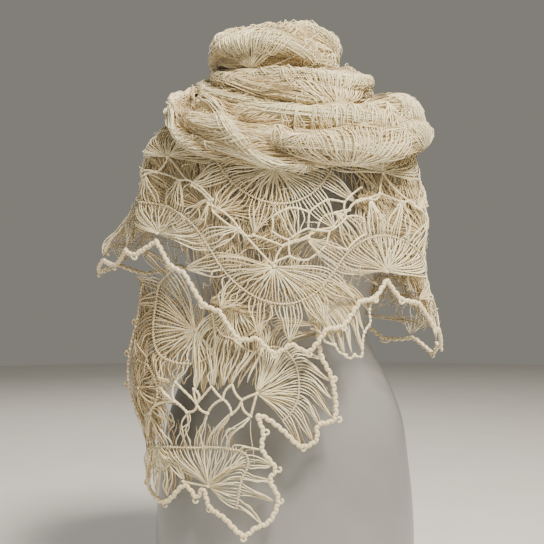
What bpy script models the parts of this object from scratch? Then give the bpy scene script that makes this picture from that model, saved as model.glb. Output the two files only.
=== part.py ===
"""Lace shawl wound about the neck and shoulders of a limbless dress form.

Metres, +Z up, the form's base centre at the origin. The front looks along -Y.
An angle is measured in degrees round the form from the front towards +X.
"""
from collections import namedtuple
from math import pi

import bmesh
import bpy
import numpy as np

OBJECT = "lace_shawl_on_dress_form"

# Cloth and cord sizes
CLOTH = 0.0020
CORD_RADIUS = 0.0026
CORD_SAG = 0.012
CORD_GAP = 0.0004
CORD_POINTS_PER_ARC = 4
CORD_END_TURN = 0.7
CORD_SAG_POWER = 0.8
CORD_SAMPLES = 721

# Dress form, one row for each level
FormLevel = namedtuple("FormLevel", "height width front back")
FORM = [
    FormLevel(0.000, 0.1640, 0.106, 0.112),
    FormLevel(0.040, 0.1700, 0.112, 0.118),
    FormLevel(0.085, 0.1725, 0.115, 0.122),
    FormLevel(0.130, 0.1710, 0.114, 0.122),
    FormLevel(0.190, 0.1650, 0.108, 0.114),
    FormLevel(0.250, 0.1560, 0.100, 0.103),
    FormLevel(0.300, 0.1370, 0.092, 0.093),
    FormLevel(0.335, 0.1180, 0.086, 0.086),
    FormLevel(0.370, 0.1080, 0.084, 0.083),
    FormLevel(0.410, 0.1120, 0.090, 0.086),
    FormLevel(0.460, 0.1270, 0.104, 0.094),
    FormLevel(0.520, 0.1380, 0.114, 0.101),
    FormLevel(0.570, 0.1460, 0.110, 0.104),
    FormLevel(0.605, 0.1480, 0.102, 0.102),
    FormLevel(0.630, 0.1400, 0.092, 0.096),
    FormLevel(0.650, 0.1213, 0.081, 0.086),
    FormLevel(0.668, 0.0920, 0.069, 0.074),
    FormLevel(0.688, 0.0650, 0.058, 0.062),
    FormLevel(0.705, 0.0560, 0.054, 0.056),
    FormLevel(0.735, 0.0545, 0.053, 0.054),
    FormLevel(0.763, 0.0545, 0.053, 0.054),
]
FORM_COLUMNS = 36
FORM_POWER = 2.25

# Hairpin lace: loops stand on a spine that winds along each strip
SPINE_RISE = 0.044
LOOP = 0.045
STRIP_PITCH = 0.120
NET_HALF = 0.0155
CUSP_DROP = 0.006
LOBE_POWER = 1.3
NET_GAP = 0.62
SMALL_GAP = 0.50
UPPER_NET_SHARE = 0.6
BUNDLES_PER_WAVE = 7

# Open stretch round chest and back
WRAP_TOP = 0.672
STRIP_A = 0.107
STRIP_B = STRIP_A + STRIP_PITCH
WAVE_ANGLES = np.array([-113.0, -59.0, -5.0, 49.0, 103.0, 175.0, 247.0])
WAVE_COUNTS = np.array([-2.0, -1.0, 0.0, 1.0, 2.0, 3.0, 4.0])
WRAP_SPLIT = 98.0
WRAP_SEAM_TURN = 0.30
WrapLevel = namedtuple("WrapLevel", "height right left front back")
WRAP = [
    WrapLevel(0.335, 0.199, 0.212, 0.147, 0.130),
    WrapLevel(0.400, 0.190, 0.212, 0.147, 0.128),
    WrapLevel(0.460, 0.183, 0.210, 0.148, 0.128),
    WrapLevel(0.520, 0.186, 0.197, 0.146, 0.129),
    WrapLevel(0.565, 0.176, 0.192, 0.140, 0.127),
    WrapLevel(0.600, 0.167, 0.186, 0.131, 0.123),
    WrapLevel(0.630, 0.149, 0.162, 0.114, 0.112),
    WrapLevel(0.652, 0.122, 0.126, 0.094, 0.096),
    WrapLevel(0.672, 0.092, 0.093, 0.077, 0.080),
]
WRAP_POWER = 2.15
WRAP_RADIUS = 0.150
FOLD_GAIN = 1.6
StripHeight = namedtuple("StripHeight", "angle height")
STRIP_B_HEIGHT = [
    StripHeight(-150.0, 0.522),
    StripHeight(-113.0, 0.545),
    StripHeight(-59.0, 0.489),
    StripHeight(-5.0, 0.447),
    StripHeight(49.0, 0.441),
    StripHeight(103.0, 0.436),
    StripHeight(165.0, 0.470),
]
Fold = namedtuple("Fold", "angle lean width depth")
WRAP_FOLDS = [
    Fold(-150.0, 4.0, 12.0, 0.006),
    Fold(-124.0, 6.0, 9.0, -0.006),
    Fold(-104.0, 5.0, 8.0, 0.007),
    Fold(-86.0, 4.0, 7.0, -0.007),
    Fold(-72.0, 3.0, 7.0, 0.006),
    Fold(-58.0, 2.0, 6.0, -0.004),
    Fold(-34.0, 4.0, 9.0, 0.004),
    Fold(24.0, -5.0, 9.0, 0.004),
    Fold(58.0, -6.0, 8.0, -0.005),
    Fold(74.0, -4.0, 8.0, 0.006),
    Fold(92.0, 0.0, 7.0, -0.006),
    Fold(108.0, 4.0, 9.0, 0.007),
    Fold(134.0, 0.0, 10.0, -0.006),
    Fold(164.0, 0.0, 11.0, 0.006),
]
Flap = namedtuple("Flap", "angle width reach")
WRAP_FLAPS = [Flap(-100.0, 24.0, 0.040), Flap(97.0, 26.0, 0.015)]
FLAP_START = 0.020
FLAP_DROP = 0.095
WRAP_COLUMNS_FRONT = 28
WRAP_COLUMNS_BACK = 20
WRAP_ROWS = 16

# Hanging end, a row for each level of its outline
EndLevel = namedtuple("EndLevel", "height start stop out_left out_front")
END = [
    EndLevel(0.480, -62.0, 12.0, 0.1975, 0.1330),
    EndLevel(0.440, -64.0, 15.0, 0.2010, 0.1345),
    EndLevel(0.400, -66.0, 18.0, 0.2060, 0.1355),
    EndLevel(0.345, -70.0, 21.0, 0.2170, 0.1370),
    EndLevel(0.295, -72.0, 25.0, 0.2200, 0.1385),
    EndLevel(0.262, -70.0, 22.0, 0.2120, 0.1390),
    EndLevel(0.232, -67.0, 6.0, 0.2020, 0.1390),
    EndLevel(0.200, -64.0, -4.0, 0.1940, 0.1385),
    EndLevel(0.172, -62.0, -3.0, 0.1900, 0.1380),
    EndLevel(0.148, -46.0, -5.0, 0.1880, 0.1375),
    EndLevel(0.126, -27.0, -13.0, 0.1860, 0.1375),
]
END_POWER = 2.05
END_GAP = 0.0024
END_NEST = 0.080
END_FOLD_DROP = 0.30
END_GAP_SHARE = 0.60
END_SIDE_SAMPLES = 60
END_FOOT_SAMPLES = 12
END_COLUMNS = 14
END_ROWS = 20
END_FOLDS = [
    Fold(-56.0, -2.0, 7.0, 0.004),
    Fold(-40.0, -2.0, 7.0, -0.004),
    Fold(-22.0, 0.0, 8.0, 0.004),
    Fold(-4.0, 3.0, 7.0, -0.003),
]
END_SPINE_TURN = 31.0
END_SPINE_ANGLE = -25.0
END_FAN_HEIGHT = 0.295
END_HALF_WAVE = 0.105
END_NET_TURN = 7.5
END_RADIUS = 0.150
END_ARC = 0.040
END_CORD_RIGHT = 0.395
END_CORD_LEFT = 0.430

# Turns round the neck: a band's middle, its long and short half sizes, and how far
# its outer side dips below level
RollRow = namedtuple("RollRow", "angle out height long short tilt")
ROLL_TOP = [
    RollRow(-180.0, 0.072, 0.721, 0.024, 0.013, 86.0),
    RollRow(-135.0, 0.077, 0.72, 0.024, 0.016, 84.0),
    RollRow(-90.0, 0.079, 0.719, 0.024, 0.018, 80.0),
    RollRow(-45.0, 0.083, 0.714, 0.028, 0.022, 80.0),
    RollRow(0.0, 0.084, 0.715, 0.032, 0.022, 82.0),
    RollRow(45.0, 0.072, 0.721, 0.032, 0.012, 84.0),
    RollRow(90.0, 0.0655, 0.726, 0.025, 0.008, 84.0),
    RollRow(135.0, 0.068, 0.723, 0.025, 0.0095, 86.0),
]
ROLL_MIDDLE = [
    RollRow(-180.0, 0.087, 0.679, 0.025, 0.014, 34.0),
    RollRow(-135.0, 0.089, 0.68, 0.025, 0.0135, 32.0),
    RollRow(-90.0, 0.092, 0.681, 0.024, 0.012, 30.0),
    RollRow(-45.0, 0.1, 0.666, 0.027, 0.0165, 42.0),
    RollRow(0.0, 0.105, 0.664, 0.029, 0.019, 46.0),
    RollRow(45.0, 0.103, 0.668, 0.03, 0.018, 44.0),
    RollRow(90.0, 0.088, 0.69, 0.0283, 0.015, 38.0),
    RollRow(135.0, 0.087, 0.684, 0.0265, 0.0145, 34.0),
]
ROLL_LOWER = [
    RollRow(-180.0, 0.121, 0.64, 0.03, 0.0145, 42.0),
    RollRow(-135.0, 0.129, 0.642, 0.028, 0.014, 36.0),
    RollRow(-90.0, 0.128, 0.65, 0.023, 0.012, 26.0),
    RollRow(-45.0, 0.147, 0.621, 0.035, 0.0185, 50.0),
    RollRow(0.0, 0.134, 0.605, 0.04, 0.022, 58.0),
    RollRow(45.0, 0.148, 0.614, 0.046, 0.025, 50.0),
    RollRow(90.0, 0.149, 0.632, 0.045, 0.027, 44.0),
    RollRow(135.0, 0.137, 0.64, 0.038, 0.018, 42.0),
]
RollStyle = namedtuple("RollStyle", "name rows start stop columns ridges depth rest colour")
ROLLS = [
    RollStyle("cowl_lower", ROLL_LOWER, -24.0, 146.0, 40, 2, 0.0040, -0.0001, (0.84, 0.77, 0.63, 1.0)),
    RollStyle("cowl_middle", ROLL_MIDDLE, -26.0, 140.0, 38, 2, 0.0034, 0.0004, (0.80, 0.72, 0.57, 1.0)),
    RollStyle("cowl_top", ROLL_TOP, 20.0, 290.0, 36, 2, 0.0020, 0.0003, (0.86, 0.80, 0.68, 1.0)),
]
ROLL_STEPS = 9
REST_ANGLES = np.arange(-180.0, 180.0, 5.0)
REST_SPREAD = 2
RIM_CLEAR = 0.0035
WRAP_SHOULDER = 0.095

CREAM = (0.84, 0.78, 0.65, 1.0)
SHADED_CREAM = (0.76, 0.67, 0.51, 1.0)
CORD_CREAM = (0.82, 0.74, 0.58, 1.0)
FORM_WHITE = (0.78, 0.79, 0.78, 1.0)


def clear_scene():
    for obj in list(bpy.data.objects):
        bpy.data.objects.remove(obj, do_unlink=True)


def make_material(name, colour, roughness):
    material = bpy.data.materials.new(name)
    material.use_nodes = True
    shader = material.node_tree.nodes["Principled BSDF"]
    shader.inputs["Base Color"].default_value = colour
    shader.inputs["Roughness"].default_value = roughness
    shader.inputs["Metallic"].default_value = 0.0
    return material


def read_rows(rows, key, column, at, period=None):
    """Smooth value of one column of a table at the given keys."""
    keys = np.array([getattr(row, key) for row in rows], dtype=float)
    values = np.array([getattr(row, column) for row in rows], dtype=float)
    order = np.argsort(keys)
    keys, values = keys[order], values[order]
    at = np.asarray(at, dtype=float)
    if period:
        at = keys[0] + np.mod(at - keys[0], period)
        keys = np.concatenate([[keys[-1] - period], keys, [keys[0] + period, keys[1] + period]])
        values = np.concatenate([[values[-1]], values, [values[0], values[1]]])
    else:
        at = np.clip(at, keys[0], keys[-1])
    slopes = np.gradient(values, keys)
    cell = np.clip(np.searchsorted(keys, at, side="right") - 1, 0, len(keys) - 2)
    span = keys[cell + 1] - keys[cell]
    t = (at - keys[cell]) / span
    start = (1 + 2 * t) * (1 - t) ** 2 * values[cell] + t * (1 - t) ** 2 * span * slopes[cell]
    stop = t * t * (3 - 2 * t) * values[cell + 1] + t * t * (t - 1) * span * slopes[cell + 1]
    return start + stop


def smooth_step(value):
    t = np.clip(value, 0.0, 1.0)
    return t * t * (3 - 2 * t)


def oval(turn, side, depth, power):
    """Distance from the axis of a superellipse with these half sizes at an angle."""
    across = np.abs(np.sin(turn)) / side
    along = np.abs(np.cos(turn)) / depth
    return (across ** power + along ** power) ** (-1.0 / power)


def on_circle(angle, out, height):
    turn = np.radians(angle)
    return np.stack([out * np.sin(turn), -out * np.cos(turn), height], axis=-1)


def fold_depth(folds, angle, drop):
    """Sum of soft ridges and troughs, each leaning with the drop below its start."""
    total = np.zeros(np.broadcast(angle, drop).shape)
    for fold in folds:
        away = np.mod(angle - fold.angle - fold.lean * drop + 180.0, 360.0) - 180.0
        total = total + fold.depth * np.exp(-(away / fold.width) ** 2)
    return total


def wave_count(angle):
    """Half waves of the lace from the front fan; the wave closes on itself behind."""
    first = WAVE_ANGLES[0]
    turns = np.floor((angle - first) / 360.0)
    span = WAVE_COUNTS[-1] - WAVE_COUNTS[0]
    return np.interp(angle - 360.0 * turns, WAVE_ANGLES, WAVE_COUNTS) + span * turns


def wave(angle):
    """Lace wave along the wrap: 1 where a fan opens down, -1 where it opens up."""
    return np.cos(pi * wave_count(angle))


def wrap_edge(angle):
    """Flat distance of the wrap's lower edge from its top, in scallops."""
    lobe = np.abs(np.cos(0.5 * pi * wave_count(angle))) ** LOBE_POWER
    return STRIP_B + CUSP_DROP + (SPINE_RISE + LOOP - CUSP_DROP) * lobe


def wrap_height(angle, down):
    """Height on the wrap at a flat distance below its top edge."""
    strip = read_rows(STRIP_B_HEIGHT, "angle", "height", angle, 360.0)
    upper = WRAP_TOP + (strip - WRAP_TOP) * down / STRIP_B
    return np.where(down < STRIP_B, upper, strip - (down - STRIP_B))


def wrap_down(angle, height):
    """Flat distance below the wrap's top edge at a height on it."""
    strip = read_rows(STRIP_B_HEIGHT, "angle", "height", angle, 360.0)
    upper = STRIP_B * (WRAP_TOP - height) / (WRAP_TOP - strip)
    return np.where(height > strip, upper, STRIP_B + strip - height)


def wrap_out(angle, height):
    """Distance of the wrap's wall from the form's axis."""
    down = wrap_down(angle, height)
    turn = np.radians(angle)
    side_name = np.where(np.sin(turn) >= 0.0, 1.0, 0.0)
    right = read_rows(WRAP, "height", "right", height)
    left = read_rows(WRAP, "height", "left", height)
    front = read_rows(WRAP, "height", "front", height)
    back = read_rows(WRAP, "height", "back", height)
    side = right * side_name + left * (1 - side_name)
    depth = np.where(np.cos(turn) >= 0.0, front, back)
    out = oval(turn, side, depth, WRAP_POWER)
    drop = down / STRIP_B
    out = out + fold_depth(WRAP_FOLDS, angle, drop) * smooth_step(drop * FOLD_GAIN)
    for flap in WRAP_FLAPS:
        away = np.mod(angle - flap.angle + 180.0, 360.0) - 180.0
        lift = smooth_step((down - STRIP_B + FLAP_START) / FLAP_DROP)
        out = out + flap.reach * lift * np.exp(-(away / flap.width) ** 2)
    return out


def wrap_point(angle, down):
    """Point on the middle of the wrap's wall."""
    height = wrap_height(angle, down)
    return on_circle(angle, wrap_out(angle, height), height)


def end_point(angle, height):
    """Point on the middle of the hanging end's wall, which nests in the wrap at its top."""
    turn = np.radians(angle)
    side = read_rows(END, "height", "out_left", height)
    depth = read_rows(END, "height", "out_front", height)
    below = END[0].height - height
    own = oval(turn, side, depth, END_POWER)
    own = own + fold_depth(END_FOLDS, angle, below / END_FOLD_DROP)
    nest = wrap_out(angle, height) - CLOTH - END_GAP
    out = nest + (own - nest) * smooth_step(below / END_NEST)
    return on_circle(angle, out, height)


def roll_profile(style, angle, across):
    """Distance from the axis and height on a roll before it is laid on what is below."""
    out = read_rows(style.rows, "angle", "out", angle, 360.0)
    height = read_rows(style.rows, "angle", "height", angle, 360.0)
    longer = read_rows(style.rows, "angle", "long", angle, 360.0)
    shorter = read_rows(style.rows, "angle", "short", angle, 360.0)
    tilt = np.radians(read_rows(style.rows, "angle", "tilt", angle, 360.0))
    spin = np.radians(style.start + (style.stop - style.start) * across)
    facing = smooth_step((np.cos(spin - tilt) + 0.3) / 0.8)
    ridge = np.cos(style.ridges * 2 * spin + 2 * np.radians(angle)) * facing
    reach = longer * np.cos(spin)
    rise = (shorter + style.depth * ridge) * np.sin(spin)
    across_out = out + reach * np.cos(tilt) + rise * np.sin(tilt)
    return across_out, height - reach * np.sin(tilt) + rise * np.cos(tilt)


def needed_lift(rest, outs, heights, line_outs, line_heights):
    """Lift that puts a roll's profile just above the line of a layer below it."""
    order = np.argsort(line_outs)
    line_outs, line_heights = line_outs[order], line_heights[order]
    slope = np.gradient(line_heights, line_outs + np.arange(len(line_outs)) * 1e-7)
    gap = (CLOTH + rest) * np.sqrt(1.0 + np.minimum(slope ** 2, 6.0))
    floor = np.interp(outs, line_outs, line_heights + gap, left=0.0, right=0.0)
    return max(0.0, float(np.max(floor - heights)))


def settle_rolls():
    """Lift of each roll at the rest angles: each lies on the wrap and the rolls below."""
    across = np.linspace(0.0, 1.0, 41)
    down = np.linspace(0.0, WRAP_SHOULDER, 41)
    lifts = {}
    layers = []
    for angle in REST_ANGLES:
        height = wrap_height(angle, down)
        layers.append([(wrap_out(angle, height), height)])
    for style in ROLLS:
        raw = []
        for angle, lines in zip(REST_ANGLES, layers):
            outs, heights = roll_profile(style, angle + 0.0 * across, across)
            raw.append(max(needed_lift(style.rest, outs, heights, *line) for line in lines))
        reach = range(-REST_SPREAD, REST_SPREAD + 1)
        highest = np.max([np.roll(raw, step) for step in reach], axis=0)
        lifts[style.name] = np.mean([np.roll(highest, step) for step in reach], axis=0)
        for index, angle in enumerate(REST_ANGLES):
            outs, heights = roll_profile(style, angle + 0.0 * across, across)
            upper = np.argmax(outs)
            line_outs = np.append(outs[upper:], outs[-1] - RIM_CLEAR)
            line_heights = np.append(heights[upper:], heights[-1]) + lifts[style.name][index]
            layers[index].append((line_outs, line_heights))
    return lifts


def roll_point(style, lifts, angle, across):
    """Point on a roll's wall; across runs over its top from outside to inside."""
    out, height = roll_profile(style, angle, across)
    lift = np.interp(angle, REST_ANGLES, lifts[style.name], period=360.0)
    return on_circle(angle, out, height + lift)


def grid_mesh(name, points, closed, gap_cells):
    """Open quad mesh on a grid of points; a gap cell keeps only its rim."""
    columns, rows = points.shape[:2]
    mesh = bmesh.new()
    verts = [[mesh.verts.new(points[i, j]) for j in range(rows)] for i in range(columns)]
    for i in range(columns if closed else columns - 1):
        for j in range(rows - 1):
            following = (i + 1) % columns
            corners = [verts[i][j], verts[following][j], verts[following][j + 1], verts[i][j + 1]]
            face = mesh.faces.new(corners)
            if (i, j) in gap_cells:
                middle = face.calc_center_median()
                share = gap_cells[(i, j)]
                inner = [mesh.verts.new(middle.lerp(corner.co, share)) for corner in corners]
                mesh.faces.remove(face)
                for k in range(4):
                    after = (k + 1) % 4
                    mesh.faces.new([corners[k], corners[after], inner[after], inner[k]])
    mesh.normal_update()
    data = bpy.data.meshes.new(name)
    mesh.to_mesh(data)
    mesh.free()
    return data


def add_object(name, data, colour, roughness, collection):
    obj = bpy.data.objects.new(name, data)
    data.materials.append(make_material(name, colour, roughness))
    collection.objects.link(obj)
    return obj


def add_wall(name, points, closed, gap_cells, colour, collection):
    obj = add_object(name, grid_mesh(name, points, closed, gap_cells), colour, 0.85, collection)
    solid = obj.modifiers.new("cloth", "SOLIDIFY")
    solid.thickness = CLOTH
    solid.offset = 0.0
    solid.use_rim = True
    return obj


def build_form(collection):
    """Smooth limbless torso, lofted through its levels and closed at both ends."""
    turn = np.linspace(0.0, 2 * pi, FORM_COLUMNS, endpoint=False)
    mesh = bmesh.new()
    rings = []
    for level in FORM:
        depth = np.where(np.cos(turn) >= 0.0, level.front, level.back)
        out = oval(turn, level.width, depth, FORM_POWER)
        points = on_circle(np.degrees(turn), out, np.full_like(turn, level.height))
        rings.append([mesh.verts.new(point) for point in points])
    for low, high in zip(rings[:-1], rings[1:]):
        for k in range(FORM_COLUMNS):
            after = (k + 1) % FORM_COLUMNS
            mesh.faces.new([low[k], low[after], high[after], high[k]])
    mesh.faces.new(list(reversed(rings[0])))
    mesh.faces.new(rings[-1])
    data = bpy.data.meshes.new("dress_form")
    mesh.to_mesh(data)
    mesh.free()
    data.shade_smooth()
    return add_object("dress_form", data, FORM_WHITE, 0.35, collection)


def wrap_gaps(angles, shares):
    """Cells of the wrap that lie in the net rows or between bundles at the edge."""
    cells = {}
    for i in range(len(angles) - 1):
        middle = 0.5 * (angles[i] + angles[i + 1])
        edge = float(wrap_edge(middle))
        line = SPINE_RISE * float(wave(middle))
        for j in range(len(shares) - 1):
            down = 0.5 * (shares[j] + shares[j + 1]) * edge
            lower_net = abs(down - (STRIP_A + STRIP_B) / 2 - line) < NET_HALF
            upper_net = abs(down - STRIP_A + STRIP_PITCH / 2 - line) < UPPER_NET_SHARE * NET_HALF
            by_edge = j == len(shares) - 2 and i % 2 == 0
            if lower_net or upper_net or by_edge:
                cells[(i, j)] = NET_GAP if lower_net else SMALL_GAP
    return cells


def build_wrap(name, first, last, columns, collection):
    angles = np.linspace(first, last, columns + 1)
    shares = np.linspace(0.0, 1.0, WRAP_ROWS + 1)
    down = shares[None, :] * wrap_edge(angles)[:, None]
    points = wrap_point(angles[:, None] + 0.0 * down, down)
    return add_wall(name, points, False, wrap_gaps(angles, shares), CREAM, collection)


def end_gaps(heights, starts, stops, shares):
    """Cells of the hanging end that lie in the net between its two upright strips."""
    cells = {}
    for j in range(len(heights) - 1):
        height = 0.5 * (heights[j] + heights[j + 1])
        sway = np.cos(pi * (END_FAN_HEIGHT - height) / END_HALF_WAVE)
        for i in range(len(shares) - 1):
            share = 0.5 * (shares[i] + shares[i + 1])
            angle = starts[j] + (stops[j] - starts[j]) * share
            line = END_SPINE_ANGLE - END_SPINE_TURN / 2 + END_SPINE_TURN * 0.5 * sway
            if abs(angle - line) < END_NET_TURN:
                cells[(i, j)] = END_GAP_SHARE
    return cells


def build_end(collection):
    heights = np.linspace(END[0].height, END[-1].height, END_ROWS + 1)
    starts = read_rows(END, "height", "start", heights)
    stops = read_rows(END, "height", "stop", heights)
    shares = np.linspace(0.0, 1.0, END_COLUMNS + 1)
    angles = starts[None, :] + (stops - starts)[None, :] * shares[:, None]
    points = end_point(angles, heights[None, :] + 0.0 * angles)
    cells = end_gaps(heights, starts, stops, shares)
    return add_wall("end_fall", points, False, cells, SHADED_CREAM, collection)


def build_roll(style, lifts, collection):
    angles = np.linspace(-180.0, 180.0, style.columns, endpoint=False)
    across = np.linspace(0.0, 1.0, ROLL_STEPS + 1)
    angles, across = np.meshgrid(angles, across, indexing="ij")
    points = roll_point(style, lifts, angles, across)
    return add_wall(style.name, points, True, {}, style.colour, collection)


def add_cord(name, points, collection):
    """Round edge cord along a line of points, its ends capped and welded."""
    curve = bpy.data.curves.new(name, "CURVE")
    curve.dimensions = "3D"
    curve.bevel_depth = CORD_RADIUS
    curve.bevel_resolution = 1
    curve.use_fill_caps = True
    spline = curve.splines.new("POLY")
    spline.points.add(len(points) - 1)
    for point, place in zip(spline.points, points):
        point.co = (place[0], place[1], place[2], 1.0)
    guide = bpy.data.objects.new(name + "_line", curve)
    collection.objects.link(guide)
    depsgraph = bpy.context.evaluated_depsgraph_get()
    data = bpy.data.meshes.new_from_object(guide.evaluated_get(depsgraph))
    bpy.data.objects.remove(guide, do_unlink=True)
    mesh = bmesh.new()
    mesh.from_mesh(data)
    bmesh.ops.remove_doubles(mesh, verts=mesh.verts, dist=0.00001)
    bmesh.ops.recalc_face_normals(mesh, faces=mesh.faces)
    mesh.to_mesh(data)
    mesh.free()
    data.materials.clear()
    data.name = name
    return add_object(name, data, CORD_CREAM, 0.85, collection)


def cord_sag(arcs):
    """Fall of the cord below the cloth's edge; the cloth holds it where an arc ends."""
    return CORD_SAG * np.abs(np.sin(pi * arcs)) ** CORD_SAG_POWER


def build_wrap_cord(name, first, last, columns, collection):
    """Cord on the wrap's scalloped lower edge, hung in an arc from bundle to bundle."""
    walls = np.linspace(first, last, columns + 1)
    fine = np.linspace(first + CORD_END_TURN, last - CORD_END_TURN, CORD_SAMPLES)
    arcs = (wave_count(fine) - 1.0) * BUNDLES_PER_WAVE / 2
    steps = np.arange(np.ceil(arcs[0] * CORD_POINTS_PER_ARC), np.floor(arcs[-1] * CORD_POINTS_PER_ARC) + 1)
    arcs_at = np.unique(np.concatenate([[arcs[0]], steps / CORD_POINTS_PER_ARC, [arcs[-1]]]))
    angles = np.interp(arcs_at, arcs, fine)
    edge = np.interp(angles, walls, wrap_edge(walls))
    slope = np.gradient(edge, np.radians(angles) * WRAP_RADIUS)
    away = (CORD_RADIUS + CORD_GAP) * np.sqrt(1.0 + slope ** 2)
    points = wrap_point(angles, edge + away + cord_sag(arcs_at))
    add_cord(name, points, collection)


def build_end_cord(collection):
    """Cord down the right side of the hanging end, along its foot and up its left side."""
    levels = np.linspace(END[-1].height, END[0].height, END_ROWS + 1)
    right = np.linspace(END_CORD_RIGHT, END[-1].height, END_SIDE_SAMPLES)
    left = np.linspace(END[-1].height, END_CORD_LEFT, END_SIDE_SAMPLES)
    stops = np.interp(right, levels, read_rows(END, "height", "stop", levels))
    starts = np.interp(left, levels, read_rows(END, "height", "start", levels))
    foot = np.linspace(stops[-1], starts[0], END_FOOT_SAMPLES)[1:-1]
    angles = np.concatenate([stops, foot, starts])
    heights = np.concatenate([right, np.full_like(foot, END[-1].height), left])
    flat = np.stack([np.radians(angles) * END_RADIUS, heights], axis=-1)
    length = np.concatenate([[0.0], np.cumsum(np.linalg.norm(np.diff(flat, axis=0), axis=1))])
    arcs = round(length[-1] / END_ARC)
    spots = np.linspace(0.0, length[-1], arcs * CORD_POINTS_PER_ARC + 1)
    flat = np.stack([np.interp(spots, length, flat[:, k]) for k in range(2)], axis=-1)
    along = np.gradient(flat, axis=0)
    along = along / np.linalg.norm(along, axis=1)[:, None]
    normal = np.stack([-along[:, 1], along[:, 0]], axis=-1)
    away = CORD_RADIUS + CORD_GAP + cord_sag(spots * arcs / length[-1])
    flat = flat + normal * away[:, None]
    points = end_point(np.degrees(flat[:, 0] / END_RADIUS), flat[:, 1])
    add_cord("edge_end", points, collection)


def main():
    clear_scene()
    collection = bpy.data.collections.new(OBJECT)
    bpy.context.scene.collection.children.link(collection)
    build_form(collection)
    lifts = settle_rolls()
    for style in ROLLS:
        build_roll(style, lifts, collection)
    seam = WRAP_SPLIT + WRAP_SEAM_TURN
    build_wrap("wrap_front", -WRAP_SPLIT, WRAP_SPLIT, WRAP_COLUMNS_FRONT, collection)
    build_wrap("wrap_back", seam, 360.0 - seam, WRAP_COLUMNS_BACK, collection)
    build_end(collection)
    build_wrap_cord("edge_front", -WRAP_SPLIT, WRAP_SPLIT, WRAP_COLUMNS_FRONT, collection)
    build_wrap_cord("edge_back", seam, 360.0 - seam, WRAP_COLUMNS_BACK, collection)
    build_end_cord(collection)


main()
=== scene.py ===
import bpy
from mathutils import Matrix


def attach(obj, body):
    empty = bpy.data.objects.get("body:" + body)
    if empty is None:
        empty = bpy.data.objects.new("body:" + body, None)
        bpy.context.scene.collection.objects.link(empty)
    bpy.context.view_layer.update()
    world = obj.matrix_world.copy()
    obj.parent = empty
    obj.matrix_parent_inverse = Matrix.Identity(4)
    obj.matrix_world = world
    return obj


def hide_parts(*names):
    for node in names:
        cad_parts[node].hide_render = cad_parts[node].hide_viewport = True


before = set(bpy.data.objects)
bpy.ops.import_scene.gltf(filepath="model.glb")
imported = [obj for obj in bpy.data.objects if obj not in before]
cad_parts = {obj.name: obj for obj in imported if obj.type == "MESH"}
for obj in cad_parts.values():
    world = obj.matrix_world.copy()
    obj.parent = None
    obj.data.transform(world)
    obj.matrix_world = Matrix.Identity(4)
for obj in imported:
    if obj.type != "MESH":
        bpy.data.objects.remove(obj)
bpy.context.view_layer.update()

from math import pi
import bpy
import numpy as np

# Lace shawl wound round the neck and shoulders of a limbless dress form.
# Metres, Z up, the front looks along -Y. An angle runs from the front towards +X in degrees.
# Yarn is laid out flat first, as (along, down) in metres, and then laid on a curved surface.

# ---------------------------------------------------------------- looking at it
shot = {
    "eye": (0.0, -1.3, 0.426),
    "lens": 63.9,
    "shift": (-13.0 / 544.0, 12.0 / 544.0),
    "floorSize": 8.0,
    "floorColour": (0.74, 0.73, 0.71, 1.0),
}


def placeCamera():
    camera = bpy.data.cameras.new("shotCamera")
    camera.lens = shot["lens"]
    camera.sensor_width = 36.0
    camera.shift_x, camera.shift_y = shot["shift"]
    camera.clip_start = 0.01
    holder = bpy.data.objects.new("shotCamera", camera)
    holder.location = shot["eye"]
    holder.rotation_euler = (pi / 2, 0.0, 0.0)
    bpy.context.scene.collection.objects.link(holder)
    bpy.context.scene.camera = holder


def placeLight(name, place, aim, size, power, colour):
    lamp = bpy.data.lights.new(name, "AREA")
    lamp.shape = "RECTANGLE"
    lamp.size, lamp.size_y = size
    lamp.energy = power
    lamp.color = colour
    holder = bpy.data.objects.new(name, lamp)
    holder.location = place
    away = np.array(place) - np.array(aim)
    flat = np.hypot(away[0], away[1])
    holder.rotation_euler = (np.arctan2(flat, away[2]), 0.0, np.arctan2(away[0], -away[1]))
    bpy.context.scene.collection.objects.link(holder)


# ---------------------------------------------------------------- mesh and curve helpers
def smoothStep(value):
    t = np.clip(value, 0.0, 1.0)
    return t * t * (3 - 2 * t)


def readTable(rows, column, at, period=None):
    # cubic through the table's rows: column 0 is the key, slopes come from the neighbours
    keys = np.array([row[0] for row in rows], dtype=float)
    values = np.array([row[column] for row in rows], dtype=float)
    order = np.argsort(keys)
    keys = keys[order]
    values = values[order]
    at = np.asarray(at, dtype=float)
    if period:
        at = keys[0] + np.mod(at - keys[0], period)
        keys = np.concatenate([[keys[-1] - period], keys, [keys[0] + period, keys[1] + period]])
        values = np.concatenate([[values[-1]], values, [values[0], values[1]]])
    else:
        at = np.clip(at, keys[0], keys[-1])
    slopes = np.gradient(values, keys)
    cell = np.clip(np.searchsorted(keys, at, side="right") - 1, 0, len(keys) - 2)
    span = keys[cell + 1] - keys[cell]
    t = (at - keys[cell]) / span
    first = (1 + 2 * t) * (1 - t) ** 2 * values[cell] + t * (1 - t) ** 2 * span * slopes[cell]
    last = t * t * (3 - 2 * t) * values[cell + 1] + t * t * (t - 1) * span * slopes[cell + 1]
    return first + last


def ovalOut(turn, side, depth, power):
    # superellipse radius: (|sin/side|^p + |cos/depth|^p)^(-1/p)
    return ((np.abs(np.sin(turn)) / side) ** power + (np.abs(np.cos(turn)) / depth) ** power) ** (-1.0 / power)


def onCircle(angle, out, height):
    turn = np.radians(angle)
    return np.stack([out * np.sin(turn), -out * np.cos(turn), height + 0.0 * out], axis=-1)


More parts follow.
